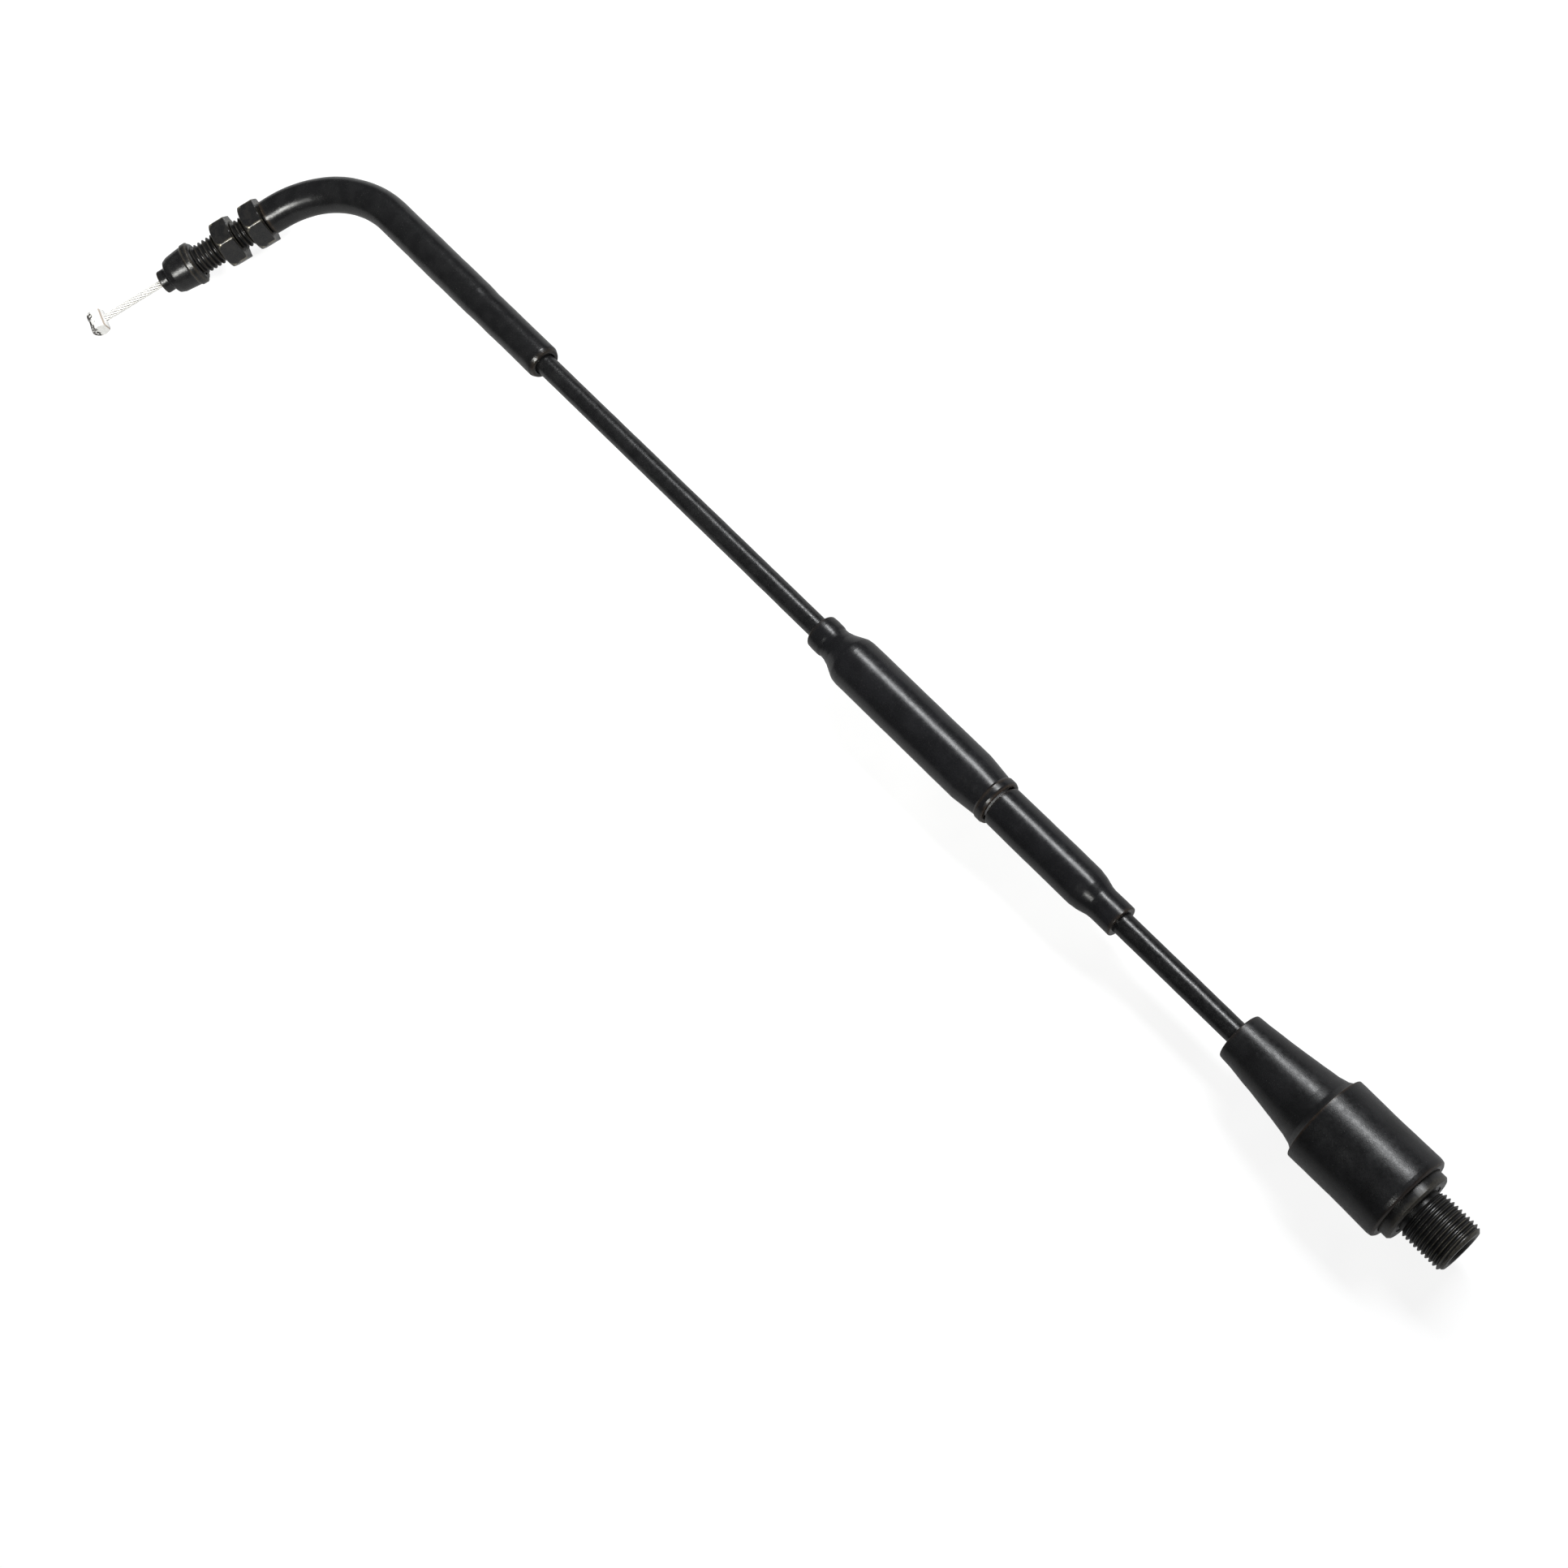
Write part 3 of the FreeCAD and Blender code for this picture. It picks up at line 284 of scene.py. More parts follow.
# --------------------------------------------------------------- material graph
class Graph:
    """A material's node graph, in a few short calls."""

    def __init__(self, name):
        self.mat = bpy.data.materials.new(name)
        self.mat.use_nodes = True
        self.tree = self.mat.node_tree
        self.tree.nodes.clear()
        self.out = self.add("ShaderNodeOutputMaterial")
        self.coord = self.add("ShaderNodeTexCoord").outputs["Object"]

    def add(self, kind, **props):
        node = self.tree.nodes.new(kind)
        for key, value in props.items():
            setattr(node, key, value)
        return node

    def link(self, source, target):
        self.tree.links.new(source, target)

    def feed(self, socket, value):
        """Links a socket, or sets a number or colour."""
        if isinstance(value, bpy.types.NodeSocket):
            self.link(value, socket)
        elif socket.type == "RGBA":
            socket.default_value = (*value, 1.0)
        else:
            socket.default_value = value

    def turned(self, stretch, turn):
        node = self.add("ShaderNodeMapping", vector_type="POINT")
        self.link(self.coord, node.inputs["Vector"])
        node.inputs["Rotation"].default_value = (0, 0, turn)
        node.inputs["Scale"].default_value = stretch
        return node.outputs["Vector"]

    def noise(self, size, detail=3.0, rough=0.55, vector=None, distortion=0.0):
        """Noise with features about size mm across."""
        node = self.add("ShaderNodeTexNoise")
        self.link(vector or self.coord, node.inputs["Vector"])
        node.inputs["Scale"].default_value = 1000.0 / size
        node.inputs["Detail"].default_value = detail
        node.inputs["Roughness"].default_value = rough
        node.inputs["Distortion"].default_value = distortion
        return node.outputs["Fac"]

    def cells(self, size):
        node = self.add("ShaderNodeTexVoronoi")
        self.link(self.coord, node.inputs["Vector"])
        node.inputs["Scale"].default_value = 1000.0 / size
        return node.outputs["Distance"]

    def span(self, value, low, high, to=(0.0, 1.0), kind="SMOOTHSTEP"):
        """Maps low..high to the range in `to`."""
        node = self.add("ShaderNodeMapRange", interpolation_type=kind)
        self.link(value, node.inputs["Value"])
        node.inputs["From Min"].default_value = low
        node.inputs["From Max"].default_value = high
        node.inputs["To Min"].default_value, node.inputs["To Max"].default_value = to
        return node.outputs["Result"]

    def clamped(self, operation, value, by):
        node = self.add("ShaderNodeMath", operation=operation, use_clamp=True)
        self.feed(node.inputs[0], value)
        self.feed(node.inputs[1], by)
        return node.outputs[0]

    def times(self, value, by):
        return self.clamped("MULTIPLY", value, by)

    def plus(self, value, by):
        return self.clamped("ADD", value, by)

    def mix(self, fac, colour, other):
        node = self.add("ShaderNodeMix", data_type="RGBA")
        self.feed(node.inputs["Factor"], fac)
        self.feed(node.inputs[6], colour)
        self.feed(node.inputs[7], other)
        return node.outputs[2]

    def blend(self, fac, value, other):
        node = self.add("ShaderNodeMix", data_type="FLOAT")
        self.feed(node.inputs["Factor"], fac)
        self.feed(node.inputs[2], value)
        self.feed(node.inputs[3], other)
        return node.outputs[0]

    def bump(self, height, depth, normal=None):
        """depth is the height of the relief in mm."""
        node = self.add("ShaderNodeBump")
        node.inputs["Distance"].default_value = depth * MM
        self.link(height, node.inputs["Height"])
        if normal:
            self.link(normal, node.inputs["Normal"])
        return node.outputs["Normal"]

    def wear_and_painted_light(self):
        # The vertex value for wear and for painted glints and painted shade.
        node = self.add("ShaderNodeAttribute", attribute_type="GEOMETRY", attribute_name="wear_and_painted_light")
        return node.outputs["Fac"]

    def finish(self, colour, rough, metal, normal, ior=1.5):
        node = self.add("ShaderNodeBsdfPrincipled")
        self.feed(node.inputs["Base Color"], colour)
        self.feed(node.inputs["Roughness"], rough)
        self.feed(node.inputs["Metallic"], metal)
        node.inputs["IOR"].default_value = ior
        node.inputs["Coat Roughness"].default_value = 0.2
        self.link(normal, node.inputs["Normal"])
        self.link(node.outputs["BSDF"], self.out.inputs["Surface"])
        return self.mat


# --------------------------------------------------------------- materials
# rough is (lowest, highest); sizes and depths are in mm; turn lines streaks up with the arm.
def soft_material(name, dark, light, rough, grain=0.16, grain_depth=0.012, mottle=2.2, lumps=0.02,
                  specks=0.012, speck_tone=0.12, rim_wear_and_glint=(0.035, 0.026, 0.018), streaks=0.35,
                  turn=0.0, ior=1.5):
    """Moulded rubber or soft plastic: grain, slow mottling, dust specks, and rims marked with wear
    and a painted warm glint.
    """
    g = Graph(name)
    slow = g.noise(size=mottle * 3.0, detail=4.0, rough=0.6)
    fine = g.noise(size=grain, detail=2.0, rough=0.6)
    mid = g.noise(size=mottle * 0.45, detail=4.0, rough=0.65)
    streak = g.noise(size=0.5, rough=0.6, vector=g.turned((0.06, 1.0, 1.0), turn))
    colour = g.mix(g.span(slow, low=0.35, high=0.68), dark, light)
    bright = [c * 2.1 for c in light]
    colour = g.mix(g.times(g.span(streak, low=0.58, high=0.78), by=streaks), colour, bright)
    dust = g.times(g.span(g.cells(size=0.55), low=0.13, high=0.05),
                   by=g.span(g.noise(size=3.5), low=0.5, high=0.62))
    dust_colour = (speck_tone, speck_tone, speck_tone * 0.96)
    colour = g.mix(g.times(dust, by=specks * 50), colour, dust_colour)
    wear_and_painted_light = g.times(g.wear_and_painted_light(), by=g.span(g.noise(size=0.7), low=0.3, high=0.62, to=(0.35, 1.0)))
    # On marked edges the rim colour is partly wear and partly a painted warm glint.
    colour = g.mix(wear_and_painted_light, colour, rim_wear_and_glint)
    roughness = g.blend(g.span(mid, low=0.32, high=0.7), *rough)
    roughness = g.plus(roughness, by=g.times(dust, by=0.2))
    normal = g.bump(slow, depth=lumps)
    normal = g.bump(mid, depth=lumps * 0.35, normal=normal)
    normal = g.bump(fine, depth=grain_depth, normal=normal)
    return g.finish(colour, roughness, metal=0.0, normal=normal, ior=ior)


def metal_material(name, base, shade, rough, metal=1.0, blotch=1.6, amount=0.5, scratch=0.004,
                   pit=0.01, wear_and_painted_light_colour=(0.8, 0.62, 0.33), worn_rough=0.24, turn=0.0, grain=0.09,
                   ior=1.5):
    """Plated, cast or drawn metal: blotches, scratches, pits, and marked edges and grooves, partly
    wear and partly painted light (painted glints, and painted shade in grooves).
    """
    g = Graph(name)
    patch = g.noise(size=blotch, detail=5.0, rough=0.62, distortion=0.3)
    fine = g.noise(size=grain, detail=2.0, rough=0.7)
    lines = g.noise(size=0.12, detail=2.0, rough=0.6, vector=g.turned((0.05, 1.0, 1.0), turn))
    pits = g.span(g.cells(size=0.42), low=0.16, high=0.05)
    colour = g.mix(g.times(g.span(patch, low=0.42, high=0.68), by=amount), base, shade)
    colour = g.mix(g.times(pits, by=0.35), colour, [c * 0.45 for c in base])
    wear_and_painted_light = g.times(g.wear_and_painted_light(), by=g.span(g.noise(size=0.5), low=0.28, high=0.6, to=(0.3, 1.0)))
    # The marked colour paints glints on edges and crests and shade in rope grooves, and elsewhere
    # stands for wear.
    colour = g.mix(wear_and_painted_light, colour, wear_and_painted_light_colour)
    roughness = g.blend(g.span(patch, low=0.3, high=0.7), *rough)
    roughness = g.blend(g.span(fine, low=0.3, high=0.75), roughness, g.plus(roughness, by=0.08))
    roughness = g.blend(wear_and_painted_light, roughness, worn_rough)
    body = g.blend(wear_and_painted_light, metal, 1.0)  # marked places, both worn ones and painted glints and groove shade, are bare metal
    normal = g.bump(lines, depth=scratch)
    normal = g.bump(fine, depth=scratch, normal=normal)
    normal = g.bump(pits, depth=-pit, normal=normal)
    return g.finish(colour, roughness, metal=body, normal=normal, ior=ior)


def drum_material():
    """Cast zinc, with a dark patch towards the arm's far end painted as a reflection of the dark
    surroundings, and a brown line beside it.
    """
    g = Graph("cast_zinc_drum")
    split = g.add("ShaderNodeVectorMath", operation="DOT_PRODUCT")
    g.link(g.coord, split.inputs[0])
    split.inputs[1].default_value = (-ARM_X, -ARM_Y, 0)
    out = split.outputs["Value"]  # distance out along the arm, in metres
    base = (-ARM_X * CORNER_X + 77.5) * MM
    patch = g.noise(size=1.0, detail=4.0, rough=0.65, distortion=0.5)
    side = g.plus(
        g.span(out, low=base - 0.0009, high=base + 0.0021, to=(0.0, 0.62), kind="LINEAR"),
        by=g.span(patch, low=0.3, high=0.7, to=(0.0, 0.52), kind="LINEAR"))
    # A painted dark reflection on the drum's outer side, blotchy at its edge.
    painted_dark_reflection = g.span(side, low=0.62, high=0.78)
    line = g.times(g.span(out, low=base - 0.00155, high=base - 0.00175),
                   by=g.span(out, low=base - 0.0021, high=base - 0.0019))
    light, grey = (0.97, 0.965, 0.95), (0.85, 0.84, 0.81)
    colour = g.mix(g.span(g.noise(size=0.5), low=0.35, high=0.7), light, grey)
    colour = g.mix(painted_dark_reflection, colour, (0.035, 0.028, 0.024))
    colour = g.mix(g.times(line, by=0.7), colour, (0.32, 0.21, 0.13))
    dark_reflection_rough = 0.6
    rough = g.blend(painted_dark_reflection, g.span(patch, low=0.3, high=0.7, to=(0.26, 0.42)), dark_reflection_rough)
    normal = g.bump(patch, depth=0.05)
    normal = g.bump(g.noise(size=0.14, detail=2.0), depth=0.012, normal=normal)
    return g.finish(colour, rough, metal=0.1, normal=normal)


PLATING = (0.0105, 0.0105, 0.011)

MAT = {
    "sleeve": soft_material(
        "sleeve_soft_plastic", dark=(0.0085, 0.0085, 0.009), light=(0.0125, 0.0125, 0.013),
        rough=(0.2, 0.28), grain=0.2, grain_depth=0.02, mottle=1.2, lumps=0.016, streaks=0.0,
        rim_wear_and_glint=(0.05, 0.035, 0.022), ior=1.4),
    # Its pale rim colour paints glints on the cap's nose and hem.
    "cap": soft_material(
        "dust_cap_rubber", dark=(0.009, 0.009, 0.0095), light=(0.017, 0.017, 0.017),
        rough=(0.18, 0.3), grain=0.2, grain_depth=0.024, mottle=0.9, lumps=0.024, specks=0.006,
        speck_tone=0.16, streaks=0.1, rim_wear_and_glint=(0.16, 0.13, 0.09), turn=-BEND_ANGLE, ior=1.4),
    "boot": soft_material(
        "adjuster_boot_rubber", dark=(0.0095, 0.0095, 0.0105), light=(0.014, 0.014, 0.0155),
        rough=(0.22, 0.31), grain=0.2, mottle=2.4, lumps=0.014, streaks=0.15,
        rim_wear_and_glint=(0.05, 0.035, 0.024), ior=1.4),
    "end_boot": soft_material(
        "housing_boot_rubber", dark=(0.0095, 0.0095, 0.01), light=(0.0155, 0.0155, 0.0165),
        rough=(0.26, 0.38), grain=0.24, grain_depth=0.02, lumps=0.022, specks=0.018,
        streaks=0.2, rim_wear_and_glint=(0.075, 0.045, 0.026), ior=1.4),
    "jacket": soft_material(
        "casing_jacket_plastic", dark=(0.008, 0.008, 0.0085), light=(0.013, 0.013, 0.0135),
        rough=(0.2, 0.38), grain=0.26, grain_depth=0.018, mottle=1.3, lumps=0.024,
        specks=0.014, streaks=0.2, rim_wear_and_glint=(0.05, 0.04, 0.03), ior=1.45),
    "tube": metal_material(
        "tube_black_plating", base=PLATING, shade=(0.02, 0.018, 0.016), rough=(0.26, 0.4),
        metal=0.0, scratch=0.006, turn=-BEND_ANGLE, wear_and_painted_light_colour=(0.3, 0.25, 0.17), ior=1.4),
    # Its pale gold marked colour paints highlights on the nut corners and glints on their chamfers.
    "nut": metal_material(
        "nut_black_plating", base=PLATING, shade=(0.02, 0.018, 0.015), rough=(0.2, 0.32),
        metal=0.0, turn=-BEND_ANGLE, wear_and_painted_light_colour=(0.88, 0.8, 0.62), ior=1.65),
    "fitting": metal_material(
        "fitting_black_plating", base=PLATING, shade=(0.022, 0.021, 0.018), rough=(0.24, 0.38),
        metal=0.0, scratch=0.005, wear_and_painted_light_colour=(0.62, 0.55, 0.4), worn_rough=0.26),
    "zinc": metal_material(
        "cast_zinc", base=(0.9, 0.89, 0.87), shade=(0.5, 0.46, 0.42), rough=(0.28, 0.46),
        metal=0.35, blotch=1.1, amount=0.45, scratch=0.006, pit=0.02, wear_and_painted_light_colour=(0.5, 0.36, 0.24),
        grain=0.14),
    # Its dark marked colour is painted shade in the grooves between strands.
    "strand": metal_material(
        "rope_steel", base=(0.97, 0.965, 0.94), shade=(0.8, 0.76, 0.7), rough=(0.24, 0.36),
        metal=0.25, blotch=1.4, amount=0.3, pit=0.0, turn=-BEND_ANGLE, wear_and_painted_light_colour=(0.1, 0.07, 0.045),
        worn_rough=0.5),
    "brass": metal_material(
        "bush_brass", base=(0.75, 0.53, 0.24), shade=(0.42, 0.27, 0.12), rough=(0.24, 0.4),
        blotch=1.2),
    "plated": metal_material(
        "zinc_plated_steel", base=(0.66, 0.65, 0.6), shade=(0.42, 0.38, 0.28),
        rough=(0.26, 0.42), metal=0.8, blotch=2.5, amount=0.45, scratch=0.005),
    "spring": metal_material(
        "spring_steel", base=(0.34, 0.33, 0.32), shade=(0.2, 0.16, 0.12), rough=(0.3, 0.44),
        metal=0.8, amount=0.6),
    "alloy": metal_material(
        "turned_aluminium", base=(0.78, 0.78, 0.79), shade=(0.58, 0.58, 0.6),
        rough=(0.24, 0.36), metal=0.75, blotch=2.2, amount=0.4, scratch=0.006),
    "liner": soft_material(
        "liner_plastic", dark=(0.62, 0.61, 0.55), light=(0.72, 0.71, 0.66), rough=(0.35, 0.5),
        specks=0.0, streaks=0.0, rim_wear_and_glint=(0.5, 0.48, 0.4)),
}

# --------------------------------------------------------------- dust cap
# Every profile table below is (along or x, radius, fillet).
TUBE_RADIUS, TUBE_BORE = 4.0, 2.05
TUBE_FIT = 4.06  # bore of the pieces on the tube
TUBE_END = at_x(-314.0)

# nose, rounded shoulder, soft dome, hem and bead, then the bore
CAP = [
    (-57.1, 1.03, 0.1), (-57.1, 3.1, 0.35), (-54.85, 3.1, 0.25), (-54.1, 4.5, 0.5),
    (-52.75, 5.05, 1.0), (-50.4, 5.27, 2.0), (-48.25, 5.44, 0.2), (-47.9, 5.76, 0.12),
    (-46.5, 5.78, 0.16), (-46.2, 5.3, 0.25), (-45.8, 5.0, 0.2), (-45.8, 4.6, 0.15),
    (-45.8, TUBE_FIT, 0.08), (-52.7, TUBE_FIT, 0.3), (-53.7, 1.95, 0.3), (-55.9, 1.03, 0.2)]


def cap_shape(along, angle, radius):
    return radius + 0.05 * wave(along, angle, 4.0, 1.1, seed=1) * ramp(radius, 2.0, 4.4)


# A pale mark on the nose's end rim and stripes on the hem bead: partly wear and partly painted
# glints.
def cap_wear_and_glint(along, angle, radius):
    if radius < 4.6:
        return 0.3 * ramp(-along, 56.6, 57.1) * ramp(radius, 2.5, 3.0)
    return 0.3 * peak(along, -47.8, 0.16) + 0.25 * peak(along, -46.4, 0.2)


skin = Skin(112)
skin.band(soften(CAP, 0.5), cap_shape, cap_wear_and_glint)
skin.done("thread_dust_cap", MAT["cap"])

# --------------------------------------------------------------- bent tube
M8_TIP, M8_END, M8_PITCH = -52.3, -24.0, 1.25
MOUTH_END, MOUTH_BORE = -48.2, 2.75


def m8_radius(along, phase):
    depth = THREAD_DEPTH * M8_PITCH * ramp(along, M8_TIP, M8_TIP + 1.0) \
        * (1 - ramp(along, M8_END - 1.5, M8_END - 0.2))
    return min(TUBE_RADIUS - depth * thread_form(phase), 3.3 + (along - M8_TIP))


skin = Skin(72)
# Faint painted crest glints on the M8 thread, partly wear.
skin.thread(M8_TIP, M8_END, M8_PITCH, m8_radius, lambda along, phase: crest_wear_and_glint(phase, 0.1))
skin.band(soften([
    (M8_END, TUBE_RADIUS, 0), (TUBE_END, TUBE_RADIUS, 0.2), (TUBE_END, TUBE_BORE, 0.2),
    (MOUTH_END, TUBE_BORE, 0), (MOUTH_END, MOUTH_BORE, 0), (M8_TIP, MOUTH_BORE, 0.08),
    (M8_TIP, 3.3, 0)], closed=False), closed=False)
skin.done("bent_tube", MAT["tube"], sharp=30)

# --------------------------------------------------------------- mounting nuts
# A hexagon with rounded corners, domed at the end away from the bend.
NUT_FLATS, NUT_THICK, NUT_CORNER = 12.0, 5.0, 0.28
NUT_CLOCK = radians(6.0)  # the angle of one corner
# (distance from the domed end, radius)
DOME = [(-1.0, 5.0), (0.0, 5.7), (0.1, 6.0), (0.4, 6.45), (0.9, 6.75), (1.7, 6.95), (2.4, 7.3),
        (9.0, 9.0)]


def dome_radius(depth):
    for (low, low_radius), (high, high_radius) in zip(DOME, DOME[1:]):
        if depth <= high:
            return low_radius + (high_radius - low_radius) * (depth - low) / (high - low)


def from_corner(angle):
    return pi / 6 - abs((angle - NUT_CLOCK) % (pi / 3) - pi / 6)


def hex_radius(angle):
    off = from_corner(angle)
    flat = NUT_FLATS / 2 / cos(pi / 6 - off)
    hub = (NUT_FLATS / 2 - NUT_CORNER) / cos(pi / 6)
    inside = NUT_CORNER ** 2 - (hub * sin(off)) ** 2
    return min(flat, hub * cos(off) + sqrt(inside)) if inside > 0 else flat


def nut(node, start):
    end = start + NUT_THICK

    def shape(along, angle, radius):
        if radius < NUT_FLATS / 2 - 1.2:  # the bore stays round
            return radius
        depth = along - start
        outline = hex_radius(angle)
        limit = min(radius, dome_radius(depth), 6.78 + (NUT_THICK - depth) * 0.8)
        # a smooth minimum, so that dome and flats meet softly
        overlap = max(0.12 - abs(outline - limit), 0.0) / 0.12
        return min(outline, limit) - overlap * overlap * 0.12 * 0.25

    def wear_and_painted_light(along, angle, radius):
        depth = along - start
        if radius < 5.0:
            return 0.12 if depth < 0.3 or depth > NUT_THICK - 0.3 else 0.0
        # corner paints a highlight along the corners in the half towards the bend; line paints a
        # gold glint where dome and flats meet; face marks the domed end's rim.
        off = from_corner(angle)
        corner = peak(off, 0, 0.016) * ramp(depth, 2.4, 3.0)
        gap = hex_radius(angle) - dome_radius(depth)
        line = peak(gap, 0, 0.06) * (0.03 + 0.5 * peak(off, 0, 0.1))
        face = peak(depth, 0, 0.1) * (radius > 5.5)
        return min(1.0, 0.8 * corner + line + face * 0.2)

    # Outer rings start oversize and shape brings them in.
    outer = [start + 0.02 * k * k for k in range(1, 10)]
    outer += [start + 1.8 + 0.4 * k for k in range(7)]
    outer += [end - 0.35, end - 0.22, end - 0.1]
    profile = [(start, 4.55), (start, 5.2), (start, 5.68)] + [(along, 99.0) for along in outer]
    profile += [(end, 6.05), (end, 5.4), (end, 4.55), (end - 0.3, 4.25), (end - 0.5, TUBE_FIT),
                (start + 2.5, TUBE_FIT), (start + 0.5, TUBE_FIT), (start + 0.3, 4.25)]
    skin = Skin(144)
    skin.band(profile, shape, wear_and_painted_light)
    skin.done(node, MAT["nut"], sharp=42)


nut("front_mount_nut", -38.45)
nut("rear_mount_nut", -29.6)

# --------------------------------------------------------------- bend sleeve
SLEEVE_START, SLEEVE_END = -23.95, at_x(-286.7)
SLEEVE = [
    (SLEEVE_START, TUBE_FIT, 0.1), (SLEEVE_START, 4.6, 0.22), (TUBE_END, 4.6, 1.5),
    (at_x(-311.0), 4.45, 1.5), (SLEEVE_END - 1.3, 4.42, 0.9), (SLEEVE_END, 3.75, 0.7),
    (SLEEVE_END - 0.15, 2.8, 0.3), (SLEEVE_END - 1.6, 2.8, 0.3), (SLEEVE_END - 2.4, 3.9, 0.3),
    (at_x(-313.9), 3.9, 0.1), (at_x(-314.2), TUBE_FIT, 0.1)]


def sleeve_shape(along, angle, radius):
    hug = 0.05 * wave(along, angle, 9.0, 0.9, seed=2) + 0.025 * wave(along, angle, 2.2, 1.8, seed=3)
    return radius + hug * ramp(along, -23.9, -21.5)


# Painted warm glints at the sleeve's start beside the rear nut and on its far lip, partly also
# wear.
def sleeve_wear_and_glint(along, angle, radius):
    return 0.8 * peak(along, SLEEVE_START, 0.35) * (radius > 4.2) \
        + 0.3 * peak(along, at_x(-287.1), 0.5) * (radius > 3.4)


skin = Skin(96)
skin.band(soften(SLEEVE, 0.8), sleeve_shape, sleeve_wear_and_glint)
skin.done("bend_sleeve", MAT["sleeve"])

# --------------------------------------------------------------- casing jackets
JACKET_BORE, JACKET_RADIUS = 1.98, 2.65


def jacket(node, start_x, end_x, seed):
    def shape(along, angle, radius):
        return radius + (0.02 * wave(along, angle, 3.0, 1.2, seed)
                         + 0.012 * wave(along, angle, 14.0, 0.7, seed + 1)) * (radius > 2.3)

    skin = Skin(64)
    skin.band(soften(on_run([
        (start_x, JACKET_BORE, 0.1), (start_x, JACKET_RADIUS, 0.12),
        (end_x, JACKET_RADIUS, 0.12), (end_x, JACKET_BORE, 0.1)]), 0.9), shape)
    skin.done(node, MAT["jacket"])


jacket("long_casing_jacket", -308.8, -160.4, seed=5)
jacket("short_casing_jacket", -105.0, -21.5, seed=8)

# --------------------------------------------------------------- boots
GRIP = 2.7  # bore of a boot where it holds the casing
LARGE_BOOT = [
    (0.0, GRIP, 0.12), (0.0, 4.3, 0.45), (1.8, 4.4, 1.2), (3.7, 4.34, 0.5), (4.4, 4.12, 0.8),
    (5.6, 4.2, 2.5), (7.4, 4.72, 2.5), (9.3, 5.58, 2.5), (10.6, 6.16, 2.0), (12.1, 6.33, 2.5),
    (51.0, 6.27, 3.0), (57.7, 5.55, 0.35), (58.2, 5.8, 0.25), (59.6, 5.8, 0.35),
    (60.3, 5.5, 0.2), (60.3, 4.8, 0.15), (12.6, 4.8, 2.0), (6.6, GRIP, 1.0)]
SMALL_BOOT = [
    (0.0, 4.16, 0.12), (0.0, 5.0, 0.3), (0.8, 5.08, 0.6), (12.0, 5.1, 4.0), (26.4, 5.06, 3.0),
    (28.6, 4.74, 3.0), (31.0, 4.08, 1.6), (32.0, 3.98, 1.3), (37.5, 4.0, 0.2),
    (37.7, 3.85, 0.12), (37.7, GRIP, 0.12), (29.6, GRIP, 0.8), (24.6, 4.16, 1.0)]
HOUSING_BOOT = [
    (0.0, GRIP, 0.15), (0.0, 5.68, 0.3), (0.9, 5.8, 0.8), (3.2, 5.93, 2.0), (9.7, 6.68, 5.0),
    (16.3, 7.56, 5.0), (20.4, 8.2, 2.4), (22.6, 8.78, 1.4), (23.85, 9.55, 0.7),
    (24.05, 10.48, 0.16), (25.6, 10.5, 1.5), (35.6, 10.36, 9.0), (45.6, 10.5, 1.2),
    (46.6, 10.32, 0.4), (47.0, 9.8, 0.2), (47.0, 8.62, 0.15), (44.8, 8.62, 0.2),
    (44.8, 6.82, 0.15), (23.0, 6.82, 0.3), (23.0, 4.9, 0.3), (6.2, 3.75, 0.5), (6.2, GRIP, 0.3)]


# Marks on the boots' lips, ends and steps: partly wear and partly a painted warm glint.
def large_boot_wear_and_glint(x, radius):
    return 0.5 * peak(x, 58.3, 0.3) + 0.8 * peak(x, 60.3, 0.3) + 0.25 * peak(x, 0.2, 0.4)


def small_boot_wear_and_glint(x, radius):
    return 0.6 * peak(x, 37.6, 0.25) * (radius > 3.3) + 0.4 * peak(x, 0, 0.3)


def housing_boot_wear_and_glint(x, radius):
    return (0.4 * peak(x, 24.1, 0.16) * (radius > 10.0) + 0.35 * peak(x, 46.8, 0.3)
            + 0.2 * peak(x, 0.1, 0.25)) * (radius > 5.0)


def boot(node, start_x, corners, material, seed, around, lump, wear_and_painted_light):
    """A boot on the run; corners and the mark function for wear and painted glints measure x from
    its low-x end.
    """
    def shape(along, angle, radius):
        return radius + lump * (wave(along, angle, 7.0, 0.8, seed)
                                + 0.4 * wave(along, angle, 2.4, 1.6, seed + 1)) * (radius > 2.9)

    skin = Skin(around)
    skin.band(soften(on_run(corners, start_x), 0.7), shape,
              lambda along, angle, radius: wear_and_painted_light(along - at_x(start_x), radius))
    skin.done(node, MAT[material])


boot("adjuster_boot_large", -182.6, LARGE_BOOT, "boot",
     seed=11, around=112, lump=0.03, wear_and_painted_light=large_boot_wear_and_glint)
boot("adjuster_boot_small", -121.9, SMALL_BOOT, "boot",
     seed=15, around=104, lump=0.03, wear_and_painted_light=small_boot_wear_and_glint)
boot("housing_boot", -49.5, HOUSING_BOOT, "end_boot",
     seed=19, around=128, lump=0.045, wear_and_painted_light=housing_boot_wear_and_glint)

